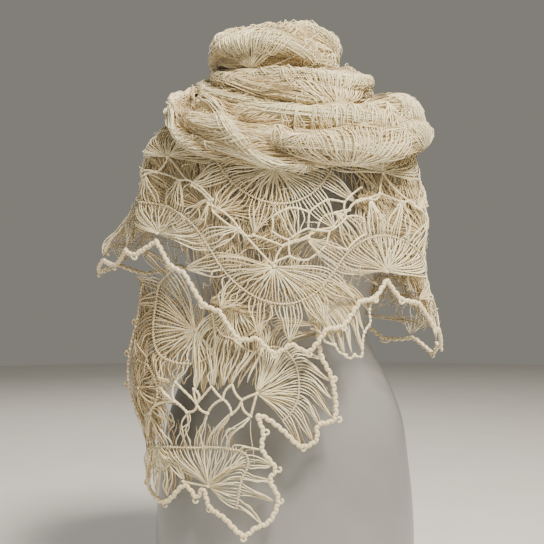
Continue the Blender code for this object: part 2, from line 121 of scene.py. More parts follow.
def foldDepth(folds, angle, drop):
    # sum of soft ridges: depth * exp(-(away from the fold's line / width)^2)
    total = np.zeros(np.broadcast(angle, drop).shape)
    for foldAngle, lean, width, depth in folds:
        away = np.mod(angle - foldAngle - lean * drop + 180.0, 360.0) - 180.0
        total = total + depth * np.exp(-(away / width) ** 2)
    return total


def unit(vector):
    return vector / np.maximum(np.linalg.norm(vector, axis=-1, keepdims=True), 1e-12)


def layOn(surface, flat, lift):
    # point = surface(along, down) + normal * lift, the normal from two short steps
    along, down = flat[..., 0], flat[..., 1]
    step = 0.0012
    acrossStep = surface(along + step, down) - surface(along - step, down)
    downStep = surface(along, down + step) - surface(along, down - step)
    normal = unit(np.cross(downStep, acrossStep))
    return surface(along, down) + normal * np.asarray(lift)[..., None], normal


def makeTubes(points, normals, radius, sides, shade):
    # ring = point + radius * (cos a * side + sin a * up), up from the cloth's normal
    count, steps = points.shape[:2]
    tangent = unit(np.gradient(points, axis=1))
    sideways = unit(np.cross(tangent, normals))
    up = np.cross(sideways, tangent)
    turn = 2 * pi * (np.arange(sides) + 0.5) / sides
    size = np.broadcast_to(np.asarray(radius, dtype=float), (count, steps)).copy()
    size[:, 0] *= 0.55
    size[:, -1] *= 0.55
    ring = np.cos(turn)[:, None] * sideways[:, :, None, :] + np.sin(turn)[:, None] * up[:, :, None, :]
    verts = (points[:, :, None, :] + size[:, :, None, None] * ring).reshape(-1, 3)
    index = np.arange(count * steps * sides).reshape(count, steps, sides)
    after = np.roll(index, -1, axis=2)
    quads = np.stack([index[:, :-1], after[:, :-1], after[:, 1:], index[:, 1:]], axis=-1).reshape(-1, 4)
    caps = np.concatenate([index[:, 0, ::-1], index[:, -1]]).reshape(-1, sides)
    tone = np.broadcast_to(np.asarray(shade, dtype=float).reshape(count, -1, 1), (count, steps, sides))
    return verts, [quads, caps], tone.reshape(-1)


def buildPiece(name, parts, finish):
    # one mesh from many parts, each (verts, face arrays, shade)
    verts = np.concatenate([part[0] for part in parts])
    tones = np.concatenate([part[2] for part in parts])
    starts = np.cumsum([0] + [len(part[0]) for part in parts])
    faces = [array + start for part, start in zip(parts, starts) for array in part[1] if len(array)]
    corners = np.concatenate([array.ravel() for array in faces]).astype(np.int32)
    totals = np.concatenate([np.full(len(array), array.shape[1]) for array in faces]).astype(np.int32)
    mesh = bpy.data.meshes.new(name)
    mesh.vertices.add(len(verts))
    mesh.vertices.foreach_set("co", verts.astype(np.float32).ravel())
    mesh.loops.add(len(corners))
    mesh.loops.foreach_set("vertex_index", corners)
    mesh.polygons.add(len(totals))
    mesh.polygons.foreach_set("loop_start", np.concatenate([[0], np.cumsum(totals)[:-1]]).astype(np.int32))
    mesh.polygons.foreach_set("loop_total", totals)
    mesh.update(calc_edges=True)
    mesh.polygons.foreach_set("use_smooth", np.ones(len(totals), dtype=bool))
    shade = mesh.attributes.new("shade", "FLOAT", "POINT")
    shade.data.foreach_set("value", tones.astype(np.float32))
    mesh.materials.append(finish)
    piece = bpy.data.objects.new(name, mesh)
    bpy.context.scene.collection.objects.link(piece)
    print("built", name, "triangles", int((totals - 2).sum()))
    return piece


# ---------------------------------------------------------------- finishes
finishes = {
    "wool": {"light": (0.94, 0.87, 0.61, 1.0), "middle": (0.70, 0.56, 0.32, 1.0),
             "deep": (0.17, 0.11, 0.045, 1.0), "rough": 0.72},
    "cord": {"light": (0.92, 0.83, 0.57, 1.0), "middle": (0.70, 0.54, 0.30, 1.0),
             "deep": (0.22, 0.14, 0.06, 1.0), "rough": 0.78},
    # the form's plastic is off-white; these dark greys are painted shade
    "form": {"light": (0.275, 0.28, 0.285, 1.0), "deep": (0.235, 0.24, 0.245, 1.0), "rough": 0.34},
}


def addNode(tree, kind, x, y):
    node = tree.nodes.new(kind)
    node.location = (x, y)
    return node


def woolFinish(name, look):
    # colour = mix(deep, light) by the shade attribute, which holds each yarn's tone with painted shade and light, and
    # a fine noise, a soft sheen on top
    finish = bpy.data.materials.new(name)
    finish.use_nodes = True
    tree = finish.node_tree
    shader = tree.nodes["Principled BSDF"]
    place = addNode(tree, "ShaderNodeTexCoord", -1100, 0)
    shade = addNode(tree, "ShaderNodeAttribute", -1100, 300)
    shade.attribute_name = "shade"
    patches = addNode(tree, "ShaderNodeTexNoise", -900, 80)
    patches.inputs["Scale"].default_value = 26.0
    patches.inputs["Detail"].default_value = 3.0
    strands = addNode(tree, "ShaderNodeTexNoise", -900, -180)
    strands.inputs["Scale"].default_value = 900.0
    strands.inputs["Detail"].default_value = 2.0
    tree.links.new(place.outputs["Object"], patches.inputs["Vector"])
    tree.links.new(place.outputs["Object"], strands.inputs["Vector"])
    spread = addNode(tree, "ShaderNodeMath", -680, 120)
    spread.operation = "MULTIPLY_ADD"
    spread.inputs[1].default_value = 0.60
    spread.inputs[2].default_value = -0.30
    tree.links.new(patches.outputs["Fac"], spread.inputs[0])
    fleck = addNode(tree, "ShaderNodeMath", -680, -80)
    fleck.operation = "MULTIPLY_ADD"
    fleck.inputs[1].default_value = 0.30
    fleck.inputs[2].default_value = -0.15
    tree.links.new(strands.outputs["Fac"], fleck.inputs[0])
    first = addNode(tree, "ShaderNodeMath", -480, 200)
    first.operation = "ADD"
    tree.links.new(shade.outputs["Fac"], first.inputs[0])
    tree.links.new(spread.outputs[0], first.inputs[1])
    total = addNode(tree, "ShaderNodeMath", -320, 120)
    total.operation = "ADD"
    total.use_clamp = True
    tree.links.new(first.outputs[0], total.inputs[0])
    tree.links.new(fleck.outputs[0], total.inputs[1])
    ramp = addNode(tree, "ShaderNodeValToRGB", -160, 120)
    ramp.color_ramp.elements[0].color = look["deep"]
    ramp.color_ramp.elements[1].color = look["light"]
    middle = ramp.color_ramp.elements.new(0.45)
    middle.color = look["middle"]
    tree.links.new(total.outputs[0], ramp.inputs["Fac"])
    tree.links.new(ramp.outputs["Color"], shader.inputs["Base Color"])
    bump = addNode(tree, "ShaderNodeBump", -160, -260)
    bump.inputs["Strength"].default_value = 0.35
    bump.inputs["Distance"].default_value = 0.0004
    tree.links.new(strands.outputs["Fac"], bump.inputs["Height"])
    tree.links.new(bump.outputs["Normal"], shader.inputs["Normal"])
    shader.inputs["Roughness"].default_value = look["rough"]
    shader.inputs["Sheen Weight"].default_value = 0.35
    shader.inputs["Sheen Roughness"].default_value = 0.6
    shader.inputs["Sheen Tint"].default_value = (1.0, 0.95, 0.85, 1.0)
    shader.inputs["Specular IOR Level"].default_value = 0.25
    return finish


def plasticFinish(name, look):
    # off-white gloss: two greys by a slow noise, fine ripple in the coat
    finish = bpy.data.materials.new(name)
    finish.use_nodes = True
    tree = finish.node_tree
    shader = tree.nodes["Principled BSDF"]
    place = addNode(tree, "ShaderNodeTexCoord", -900, 0)
    cloud = addNode(tree, "ShaderNodeTexNoise", -700, 80)
    cloud.inputs["Scale"].default_value = 9.0
    cloud.inputs["Detail"].default_value = 4.0
    grain = addNode(tree, "ShaderNodeTexNoise", -700, -200)
    grain.inputs["Scale"].default_value = 220.0
    grain.inputs["Detail"].default_value = 2.0
    tree.links.new(place.outputs["Object"], cloud.inputs["Vector"])
    tree.links.new(place.outputs["Object"], grain.inputs["Vector"])
    ramp = addNode(tree, "ShaderNodeValToRGB", -460, 80)
    ramp.color_ramp.elements[0].position = 0.35
    ramp.color_ramp.elements[0].color = look["deep"]
    ramp.color_ramp.elements[1].position = 0.70
    ramp.color_ramp.elements[1].color = look["light"]
    tree.links.new(cloud.outputs["Fac"], ramp.inputs["Fac"])
    tree.links.new(ramp.outputs["Color"], shader.inputs["Base Color"])
    bump = addNode(tree, "ShaderNodeBump", -300, -240)
    bump.inputs["Strength"].default_value = 0.10
    bump.inputs["Distance"].default_value = 0.0005
    tree.links.new(grain.outputs["Fac"], bump.inputs["Height"])
    tree.links.new(bump.outputs["Normal"], shader.inputs["Normal"])
    shader.inputs["Roughness"].default_value = look["rough"]
    shader.inputs["Coat Weight"].default_value = 0.30
    shader.inputs["Coat Roughness"].default_value = 0.25
    return finish


wool = woolFinish("ecruWool", finishes["wool"])
cordWool = woolFinish("edgeCordWool", finishes["cord"])
formPlastic = plasticFinish("formPlastic", finishes["form"])

# ---------------------------------------------------------------- the dress form
formLook = {
    "levels": [
        (0.000, 0.1640, 0.106, 0.112), (0.040, 0.1700, 0.112, 0.118), (0.085, 0.1725, 0.115, 0.122),
        (0.130, 0.1710, 0.114, 0.122), (0.190, 0.1650, 0.108, 0.114), (0.250, 0.1560, 0.100, 0.103),
        (0.300, 0.1370, 0.092, 0.093), (0.335, 0.1180, 0.086, 0.086), (0.370, 0.1080, 0.084, 0.083),
        (0.410, 0.1120, 0.090, 0.086), (0.460, 0.1270, 0.104, 0.094), (0.520, 0.1380, 0.114, 0.101),
        (0.570, 0.1460, 0.110, 0.104), (0.605, 0.1480, 0.102, 0.102), (0.630, 0.1400, 0.092, 0.096),
        (0.650, 0.1213, 0.081, 0.086), (0.668, 0.0920, 0.069, 0.074), (0.688, 0.0650, 0.058, 0.062),
        (0.705, 0.0560, 0.054, 0.056), (0.735, 0.0545, 0.053, 0.054), (0.763, 0.0545, 0.053, 0.054)],
    "power": 2.25,
    "columns": 112,
    "rows": 110,
    "rimRound": 0.004,
}


def makeForm():
    # loft: oval of the level's half sizes, rim and foot rounded over a quarter circle
    levels = formLook["levels"]
    top, soft = levels[-1][0], formLook["rimRound"]
    turnUp = np.linspace(0.0, pi / 2, 6)
    heights = np.concatenate([soft * (1 - np.cos(turnUp)), np.linspace(soft, top - soft, formLook["rows"])[1:-1],
                              top - soft + soft * np.sin(turnUp)])
    inset = np.concatenate([soft * (1 - np.sin(turnUp)), np.zeros(formLook["rows"] - 2), soft * (1 - np.cos(turnUp))])
    turn = np.linspace(-pi, pi, formLook["columns"], endpoint=False)[:, None]
    side = readTable(levels, 1, heights)[None, :]
    depth = np.where(np.cos(turn) >= 0.0, readTable(levels, 2, heights), readTable(levels, 3, heights))
    out = ovalOut(turn, side, depth, formLook["power"]) - inset
    grid = np.stack([out * np.sin(turn), -out * np.cos(turn), heights[None, :] + 0.0 * out], axis=-1)
    columns, rows = grid.shape[:2]
    ends = np.array([[0.0, 0.0, 0.0], [0.0, 0.0, top]])
    index = np.arange(columns * rows).reshape(columns, rows)
    after = np.roll(index, -1, axis=0)
    walls = np.stack([index[:, :-1], after[:, :-1], after[:, 1:], index[:, 1:]], axis=-1).reshape(-1, 4)
    foot = np.stack([after[:, 0], index[:, 0], np.full(columns, columns * rows)], axis=-1)
    cap = np.stack([index[:, -1], after[:, -1], np.full(columns, columns * rows + 1)], axis=-1)
    verts = np.concatenate([grid.reshape(-1, 3), ends])
    piece = buildPiece("dressForm", [(verts, [walls, foot, cap], np.ones(len(verts)))], formPlastic)
    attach(piece, "root")
    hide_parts("dress_form")


# ---------------------------------------------------------------- hairpin lace, laid out flat
laceLook = {
    "halfWave": 0.140,      # from one fan's gather to the next
    "spineRise": 0.044,     # how far the spine swings either side of its strip's middle
    "spineBow": 0.008,
    "loop": 0.045,
    "pitch": 0.120,
    "yarn": 0.00086,
    "chain": 0.0013,
    "points": 11,
    "perFan": 46,
    "groups": 6,
    "seed": 7,
}
noise = np.random.default_rng(laceLook["seed"])


def bezier(first, second, third, fourth, points):
    t = np.linspace(0.0, 1.0, points)[None, :, None]
    return ((1 - t) ** 3 * first[:, None] + 3 * t * (1 - t) ** 2 * second[:, None]
            + 3 * t * t * (1 - t) * third[:, None] + t ** 3 * fourth[:, None])


def fanStrands(gather, feet, outward, tips, pinch=0.0):
    # inside: gather -> foot, leaving the spine square; outside: foot -> the tip of its group
    points = laceLook["points"]
    count = len(feet)
    reach = np.linalg.norm(feet - gather, axis=1)[:, None]
    start = gather + unit(feet - gather) * 0.0016
    loose = noise.normal(0.0, 0.0014, (count, 2))
    inner = bezier(start, start + (feet - start) * 0.35 + loose, feet - outward * reach * 0.30 + loose, feet, points)
    group = np.minimum(np.arange(count) * len(tips) // count, len(tips) - 1)
    tip = (tips + noise.normal(0.0, 0.0014, tips.shape))[group]
    middle = np.stack([feet[group == g].mean(axis=0) for g in range(len(tips))])[group]
    long = np.linalg.norm(tip - feet, axis=1)[:, None]
    spread = (feet - middle) * noise.uniform(0.35, 1.00, (count, 1))
    loose = noise.normal(0.0, 0.0016, (count, 2))
    close = tip + (feet - middle) * 0.07
    outer = bezier(feet, feet + outward * long * 0.40 + loose + (middle - feet) * pinch, close - unit(tip - middle) * long * 0.38 + spread, close,
                   points)
    flat = np.concatenate([inner, outer])
    wave = np.linspace(0.0, 1.0, points)[None, :] * noise.uniform(0.8, 1.9, (2 * count, 1))
    sway = noise.normal(0.0, 0.0012, (2 * count, 1)) * np.sin(2 * pi * wave) * (1.0 - np.linspace(0.0, 1.0, points) ** 6)
    flat = flat + np.stack([sway, 0.5 * sway], axis=-1)
    t = np.linspace(0.0, 1.0, points)[None, :]
    puff = np.abs(noise.normal(0.0010, 0.0009, (2 * count, 1)))
    lift = 0.0006 + puff * np.sin(pi * t) * 1.6
    tone = np.clip(noise.normal(0.84, 0.17, 2 * count), 0.30, 1.0)
    return flat, lift, tone


def spineAt(strip, s):
    # spine of a strip: along = H s + bow sin(2 pi s), down = middle + rise cos(pi s)
    along = laceLook["halfWave"] * s + laceLook["spineBow"] * np.sin(2 * pi * s)
    return np.stack([along, strip + laceLook["spineRise"] * np.cos(pi * s)], axis=-1)


def spineOutward(s, opens):
    tangent = np.stack([laceLook["halfWave"] + 2 * pi * laceLook["spineBow"] * np.cos(2 * pi * s),
                        -pi * laceLook["spineRise"] * np.sin(pi * s)], axis=-1)
    return opens * unit(np.stack([-tangent[..., 1], tangent[..., 0]], axis=-1))


def fanTips(strip, fan):
    # tips stand one loop out from the spine, at the middles of its groups
    s = fan - 0.5 + (np.arange(laceLook["groups"]) + 0.5) / laceLook["groups"]
    opens = 1.0 if fan % 2 == 0 else -1.0
    return spineAt(strip, s) + spineOutward(s, opens) * laceLook["loop"]


def stripStrands(strip, fans, tipsOf):
    flats, lifts, tones = [], [], []
    for fan in fans:
        opens = 1.0 if fan % 2 == 0 else -1.0
        s = fan - 0.5 + (np.arange(laceLook["perFan"]) + 0.5) / laceLook["perFan"]
        gather = np.array([fan * laceLook["halfWave"], strip])
        parts = fanStrands(gather, spineAt(strip, s), spineOutward(s, opens), tipsOf(fan))
        flats.append(parts[0])
        lifts.append(parts[1])
        tones.append(parts[2])
    return np.concatenate(flats), np.concatenate(lifts), np.concatenate(tones)


def netLinks(upperStrip, lowerStrip, waves):
    # hexagons: each knot hangs from two nodes of the strip above and holds two of the one below
    upper, lower = [], []
    for wave in waves:
        even, odd = 2 * wave, 2 * wave + 1
        upper.append(np.concatenate([fanTips(upperStrip, even), [[odd * laceLook["halfWave"], upperStrip]]]))
        lower.append(np.concatenate([[[even * laceLook["halfWave"], lowerStrip]], fanTips(lowerStrip, odd)]))
    upper = np.concatenate(upper)
    lower = np.concatenate(lower)
    i = np.arange(2, len(upper) - 1)
    knots = (upper[i] + upper[i + 1] + lower[i - 2] + lower[i - 1]) / 4.0
    firsts = np.concatenate([knots, knots, knots, knots])
    lasts = np.concatenate([upper[i], upper[i + 1], lower[i - 2], lower[i - 1]])
    return firsts, lasts, np.concatenate([upper, lower, knots])


def chainFlat(firsts, lasts, points, sag):
    # a slack chain between two nodes: straight line plus sag * 4 t (1 - t), square to it
    t = np.linspace(0.0, 1.0, points)[None, :, None]
    along = lasts - firsts
    square = unit(np.stack([-along[:, 1], along[:, 0]], axis=-1))
    sway = noise.normal(0.0, sag, (len(firsts), 1))
    return firsts[:, None] + along[:, None] * t + (square * sway)[:, None] * 4 * t * (1 - t)


def lumpy(count, points, radius):
    # chain stitches: radius * (1 + 0.22 cos) over each stitch
    t = np.arange(points)[None, :] * pi + noise.uniform(0.0, 2.0, (count, 1))
    return radius * (1.0 + 0.22 * np.cos(t))


def tubesOn(surface, flat, lift, radius, sides, shade):
    points, normals = layOn(surface, flat, lift)
    return [points, normals, np.broadcast_to(radius, points.shape[:2]), sides, np.asarray(shade, dtype=float)]


def plySet(points, normals, ply, offset, wavelength, plies, shade):
    # twisted plies: path + offset * (cos(turn) side + sin(turn) up), turn grows with length, painted shade where they
    # dip
    length = np.concatenate([[0.0], np.cumsum(np.linalg.norm(np.diff(points, axis=0), axis=1))])
    tangent = unit(np.gradient(points, axis=0))
    side = unit(np.cross(tangent, normals))
    up = np.cross(side, tangent)
    strands, tones = [], []
    for index in range(plies):
        turn = 2 * pi * (length / wavelength + index / plies)
        tones.append(np.clip(shade + 0.26 * np.sin(turn) - 0.14, 0.1, 1.0))
        strands.append(points + offset * (np.cos(turn)[:, None] * side + np.sin(turn)[:, None] * up))
    paths = np.stack(strands)
    return [paths, np.broadcast_to(normals, paths.shape), np.full(paths.shape[:2], ply), 3, np.stack(tones)]


def ladderSet(surface, path, spacing, size, tone):
    # little stitches square across a spine, one every few millimetres
    path = evenPath(path, spacing)
    tangent = unit(np.gradient(path, axis=0))
    square = np.stack([-tangent[:, 1], tangent[:, 0]], axis=-1)
    turned = unit(square + noise.normal(0.0, 0.35, square.shape))
    step = np.linspace(-1.0, 1.0, 4)[None, :, None] * noise.uniform(0.6, 1.3, (len(path), 1, 1)) * size
    flat = path[:, None] + turned[:, None] * step
    return tubesOn(surface, flat, np.full(flat.shape[:2], 0.0017), 0.0007, 3, np.full(len(flat), tone))


def fuzzSet(surface, starts, tone):
    # loose fibres: short curved hairs that lift off the yarn
    count = len(starts)
    turn = noise.uniform(0.0, 2 * pi, (count, 1))
    bend = noise.normal(0.0, 1.2, (count, 1))
    t = np.linspace(0.0, 1.0, 6)[None, :]
    reach = noise.uniform(0.004, 0.012, (count, 1))
    heading = turn + bend * t
    flat = starts[:, None] + np.stack([np.cos(heading), np.sin(heading)], axis=-1) * (reach * t)[..., None]
    lift = 0.001 + noise.uniform(0.001, 0.005, (count, 1)) * np.sin(0.5 * pi * t)
    return tubesOn(surface, flat, lift, 0.00016, 3, np.full(count, tone))


def evenPath(points, spacing):
    # the same path with points at even distances
    length = np.concatenate([[0.0], np.cumsum(np.linalg.norm(np.diff(points, axis=0), axis=1))])
    at = np.linspace(0.0, length[-1], max(4, int(length[-1] / spacing)))
    return np.stack([np.interp(at, length, points[:, axis]) for axis in range(points.shape[1])], axis=-1)


def tubeParts(sets, keep):
    # keep(points) picks whole strands; the ones kept become mesh parts
    parts = []
    for points, normals, radius, sides, shade in sets:
        chosen = keep(points)
        if chosen.any():
            tone = shade if shade.ndim == 2 else np.broadcast_to(shade, len(points))
            parts.append(makeTubes(points[chosen], normals[chosen], radius[chosen], sides, tone[chosen]))
    return parts

# ---------------------------------------------------------------- wrap round chest and back
wrapLook = {
    "top": 0.672,
    "strips": (-0.013, 0.107, 0.227),
    "split": 98.0,
    "counts": [-2.0, -1.0, 0.0, 1.0, 2.0, 3.0, 4.0],
    "angles": [-113.0, -59.0, -5.0, 49.0, 103.0, 175.0, 247.0],
    "levels": [
        (0.335, 0.199, 0.212, 0.147, 0.130), (0.400, 0.190, 0.212, 0.147, 0.128),
        (0.460, 0.183, 0.210, 0.148, 0.128), (0.520, 0.186, 0.197, 0.146, 0.129),
        (0.565, 0.176, 0.192, 0.140, 0.127), (0.600, 0.167, 0.186, 0.131, 0.123),
        (0.630, 0.149, 0.162, 0.114, 0.112), (0.652, 0.122, 0.126, 0.094, 0.096),
        (0.672, 0.092, 0.093, 0.077, 0.080)],
    "power": 2.15,
    "stripHeights": [(-150.0, 0.522), (-113.0, 0.545), (-59.0, 0.489), (-5.0, 0.447), (49.0, 0.441),
                     (103.0, 0.436), (165.0, 0.470)],
    "folds": [
        (-150.0, 4.0, 12.0, 0.006), (-124.0, 6.0, 9.0, -0.006), (-104.0, 5.0, 8.0, 0.007),
        (-86.0, 4.0, 7.0, -0.007), (-72.0, 3.0, 7.0, 0.006), (-58.0, 2.0, 6.0, -0.004),
        (-34.0, 4.0, 9.0, 0.004), (24.0, -5.0, 9.0, 0.004), (58.0, -6.0, 8.0, -0.005),
        (74.0, -4.0, 8.0, 0.006), (92.0, 0.0, 7.0, -0.006), (108.0, 4.0, 9.0, 0.007),
        (134.0, 0.0, 10.0, -0.006), (164.0, 0.0, 11.0, 0.006)],
    "flaps": [(-100.0, 24.0, 0.040), (97.0, 26.0, 0.015)],
    "flapStart": 0.020,
    "flapDrop": 0.095,
    "cuspDrop": 0.006,
    "underDepth": 0.0065,
    "skirt": {
        "gather": (7.0, 0.4300), "count": 54,
        "spine": [(12.4, 0.3806), (20.0, 0.3890), (26.0, 0.4070), (28.6, 0.4270)],
        "tips": [(15.9, 0.3698), (23.3, 0.3530), (28.7, 0.3400), (33.0, 0.3400), (36.6, 0.3480),
                 (37.8, 0.3674), (40.5, 0.3950)],
        "edge": [(12.0, 0.3720), (15.9, 0.3698), (19.0, 0.3560), (23.3, 0.3530), (25.5, 0.3440), (28.7, 0.3400),
                 (31.0, 0.3350), (33.0, 0.3400), (36.6, 0.3380), (36.9, 0.3580), (37.8, 0.3674), (41.0, 0.3800),
                 (40.5, 0.3950), (44.0, 0.4150)]},
    "net": (-0.004, 0.112, 0.044, 0.028, 2),    # first and last place along, cell, row height, rows
    "backing": 2400,
}


def waveAngle(count):
    # half waves -> angle, closing on itself after six
    counts, angles = np.array(wrapLook["counts"]), np.array(wrapLook["angles"])
    turns = np.floor((count - counts[0]) / 6.0)
    return np.interp(count - 6.0 * turns, counts, angles) + 360.0 * turns


def wrapEdge(count):
    # scalloped lower edge: strip + cusp + (rise + loop - cusp) |cos(pi n / 2)|^1.3
    lobe = np.abs(np.cos(0.5 * pi * count)) ** 1.3
    reach = laceLook["spineRise"] + laceLook["loop"] - wrapLook["cuspDrop"]
    return wrapLook["strips"][2] + wrapLook["cuspDrop"] + reach * lobe


def wrapOut(angle, height):
    # radius: oval of the level, plus leaning folds, plus the two flaps that stand off below
    strip = readTable(wrapLook["stripHeights"], 1, angle, 360.0)
    top, middle = wrapLook["top"], wrapLook["strips"][2]
    down = np.where(height > strip, middle * (top - height) / (top - strip), middle + strip - height)
    turn = np.radians(angle)
    levels = wrapLook["levels"]
    side = np.where(np.sin(turn) >= 0.0, readTable(levels, 1, height), readTable(levels, 2, height))
    depth = np.where(np.cos(turn) >= 0.0, readTable(levels, 3, height), readTable(levels, 4, height))
    out = ovalOut(turn, side, depth, wrapLook["power"])
    drop = down / middle
    out = out + foldDepth(wrapLook["folds"], angle, drop) * smoothStep(drop * 1.6)
    for flapAngle, width, reach in wrapLook["flaps"]:
        away = np.mod(angle - flapAngle + 180.0, 360.0) - 180.0
        lift = smoothStep((down - middle + wrapLook["flapStart"]) / wrapLook["flapDrop"])
        out = out + reach * lift * np.exp(-(away / width) ** 2)
    return out


def wrapSurface(along, down):
    # height falls evenly to the lower strip's middle line and straight down below it
    angle = waveAngle(along / laceLook["halfWave"])
    strip = readTable(wrapLook["stripHeights"], 1, angle, 360.0)
    middle = wrapLook["strips"][2]
    upper = wrapLook["top"] + (strip - wrapLook["top"]) * down / middle
    height = np.where(down < middle, upper, strip - (down - middle))
    return onCircle(angle, wrapOut(angle, height), height)


def underSurface(along, down):
    # the turn beneath: the same wall pushed in, and hardly at all on the shoulders
    point = wrapSurface(along, down)
    inward = wrapLook["underDepth"] * smoothStep((down - 0.045) / 0.06)
    flat = np.stack([point[..., 0], point[..., 1], np.zeros_like(inward)], axis=-1)
    return point - unit(flat) * inward[..., None]


def wrapFlat(places):
    # (angle, height) below the lower strip -> (along, down)
    places = np.array(places, dtype=float)
    count = np.interp(places[:, 0], wrapLook["angles"], wrapLook["counts"])
    strip = readTable(wrapLook["stripHeights"], 1, places[:, 0], 360.0)
    return np.stack([count * laceLook["halfWave"], wrapLook["strips"][2] + strip - places[:, 1]], axis=-1)


def skirtSets():
    # the corner of the turn beneath that hangs lower, right of the middle, with its own edge chain
    skirt = wrapLook["skirt"]
    gather = wrapFlat([skirt["gather"]])[0]
    spine = smoothPath(wrapFlat(skirt["spine"]), skirt["count"])
    tangent = unit(np.gradient(spine, axis=0))
    outward = np.stack([-tangent[:, 1], tangent[:, 0]], axis=-1)
    outward = outward * np.sign(np.sum(outward * (spine - gather), axis=1, keepdims=True))
    flat, lift, tone = fanStrands(gather, spine, outward, wrapFlat(skirt["tips"]))
    strands = tubesOn(underSurface, flat, lift, laceLook["yarn"] * 1.1, 3, tone * 0.92)
    path = evenPath(smoothPath(wrapFlat(skirt["edge"]), 200), 0.0013)
    chain = chainFlat(path[:-1:4], np.roll(path[::4], -1, axis=0)[:len(path[:-1:4])], 4, 0.0005)[:-1]
    cord = tubesOn(underSurface, chain, np.full(chain.shape[:2], 0.0012), 0.0017, 5, np.full(len(chain), 0.80))
    return [strands, cord, knotSet(underSurface, wrapFlat(skirt["tips"]), 0.0024)]


def lowerNodes(fan):
    # where the edge cord is caught: three nodes either side of an even fan's middle
    count = fan + np.array([-5, -3, -1, 1, 3, 5]) / 7.0
    return np.stack([count * laceLook["halfWave"], wrapEdge(count) - 0.001], axis=-1)


def wrapSets():
    fans = range(-2, 4)
    first, upper, lower = wrapLook["strips"]
    sets = []
    for strip in (upper, lower):
        tipsOf = lambda fan: lowerNodes(fan) if strip == lower and fan % 2 == 0 else fanTips(strip, fan)
        flat, lift, tone = stripStrands(strip, fans, tipsOf)
        sets.append(tubesOn(wrapSurface, flat, lift, laceLook["yarn"], 3, tone))
    flat, lift, tone = stripStrands(first, fans, lambda fan: fanTips(first, fan))
    shown = flat[:, :, 1].min(axis=1) > 0.004
    sets.append(tubesOn(wrapSurface, flat[shown], lift[shown], laceLook["yarn"], 3, tone[shown]))
    nodes = []
    for pair in ((first, upper), (upper, lower)):
        firsts, lasts, knots = netLinks(pair[0], pair[1], range(-1, 3))
        inside = (firsts[:, 0] >= -2 * laceLook["halfWave"]) & (firsts[:, 0] < 4 * laceLook["halfWave"])
        flat = chainFlat(firsts[inside], lasts[inside], 10, 0.0024)
        shown = flat[:, :, 1].min(axis=1) > 0.004
        flat = flat[shown]
        sets.append(tubesOn(wrapSurface, flat, np.full(flat.shape[:2], 0.0010),
                            lumpy(len(flat), 10, laceLook["chain"]), 5, np.full(len(flat), 0.80)))
        nodes.append(knots)
    gathers = np.array([[fan * laceLook["halfWave"], strip] for fan in fans for strip in (upper, lower)])
    nodes.append(gathers)
    nodes = np.concatenate(nodes)
    sets.append(knotSet(wrapSurface, nodes[nodes[:, 1] > 0.01], 0.0021))
    for strip in (upper, lower):
        s = np.linspace(-2.0, 4.0, 900)
        points, normals = layOn(wrapSurface, evenPath(spineAt(strip, s), 0.0018), 0.0012)
        sets.append(plySet(points, normals, 0.00055, 0.0007, 0.0060, 2, 0.74))
        sets.append(ladderSet(wrapSurface, spineAt(strip, s), 0.0038, 0.0024, 0.80))
    along = noise.uniform(-2.0, 4.0, 800) * laceLook["halfWave"]
    down = noise.uniform(0.03, 0.98, 800) * wrapEdge(along / laceLook["halfWave"])
    starts = np.stack([along, down], axis=-1)
    sets.append(fuzzSet(wrapSurface, starts, 0.95))
    sets.append(straySet(wrapSurface, starts[::5] * np.array([1.0, 0.93]), 0.90))
    middleOf = lambda along: 0.172 + 0.018 * np.cos(pi * along / laceLook["halfWave"])
    return sets + hexNet(wrapSurface, *wrapLook["net"], middleOf) + skirtSets()


def underSets():
    # the turn beneath, half a wave round from the one outside, left out where the form shows
    shift = laceLook["halfWave"]
    sets = []
    for strip in (0.060, 0.175, 0.290):
        flat, lift, tone = stripStrands(strip, range(-2, 4), lambda fan: fanTips(strip, fan))
        flat = flat + np.array([shift * 0.45, 0.0])
        middle = flat.mean(axis=1)
        angle = waveAngle(middle[:, 0] / laceLook["halfWave"])
        angle = np.mod(angle + 180.0, 360.0) - 180.0
        bare = (angle > 4.0) & (angle < 34.0) & (middle[:, 1] > 0.120) & (middle[:, 1] < 0.185)
        edge = wrapEdge(middle[:, 0] / laceLook["halfWave"])
        shown = (flat[:, :, 1].min(axis=1) > 0.010) & (flat[:, :, 1].max(axis=1) < edge - 0.004) & ~bare
        # the turn beneath is darkened to 0.62 of its tone, less 0.08, as painted shade
        sets.append(tubesOn(underSurface, flat[shown], lift[shown], 0.00076, 3, tone[shown] * 0.62 - 0.08))
    return sets


def backingSet():
    # loose yarns of the turn beneath, hanging mostly straight down, thin where the form shows
    count = wrapLook["backing"]
    points = 7
    t = np.linspace(0.0, 1.0, points)[None, :]
    begin = noise.uniform(-2.0, 4.0, (count, 1)) * laceLook["halfWave"]
    top = noise.uniform(0.012, 0.250, (count, 1))
    reach = noise.uniform(0.04, 0.10, (count, 1))
    lean = noise.normal(0.0, 0.020, (count, 1))
    wander = 0.003 * np.sin(2 * pi * (t * noise.uniform(0.5, 1.4, (count, 1)) + noise.uniform(0, 1, (count, 1))))
    flat = np.stack([begin + lean * t + wander, top + reach * t], axis=-1)
    angle = np.mod(waveAngle(flat[..., 0].mean(axis=1) / laceLook["halfWave"]) + 180.0, 360.0) - 180.0
    bare = (angle > 2.0) & (angle < 36.0) & (flat[:, -1, 1] > 0.135) & (flat[:, 0, 1] < 0.190)
    edge = wrapEdge(flat[:, -1, 0] / laceLook["halfWave"])
    shown = (flat[:, -1, 1] < edge - 0.010) & ~bare
    # the low tones are painted shade of the turn beneath; lighter from 30 to 85 degrees round
    tone = noise.uniform(0.20, 0.52, count) + 0.26 * smoothStep((angle - 30.0) / 20.0) * (angle < 85.0)
    lift = noise.uniform(-0.0012, 0.0012, (count, 1)) + np.zeros((count, points))
    return tubesOn(underSurface, flat[shown], lift[shown], 0.00066, 3, tone[shown])


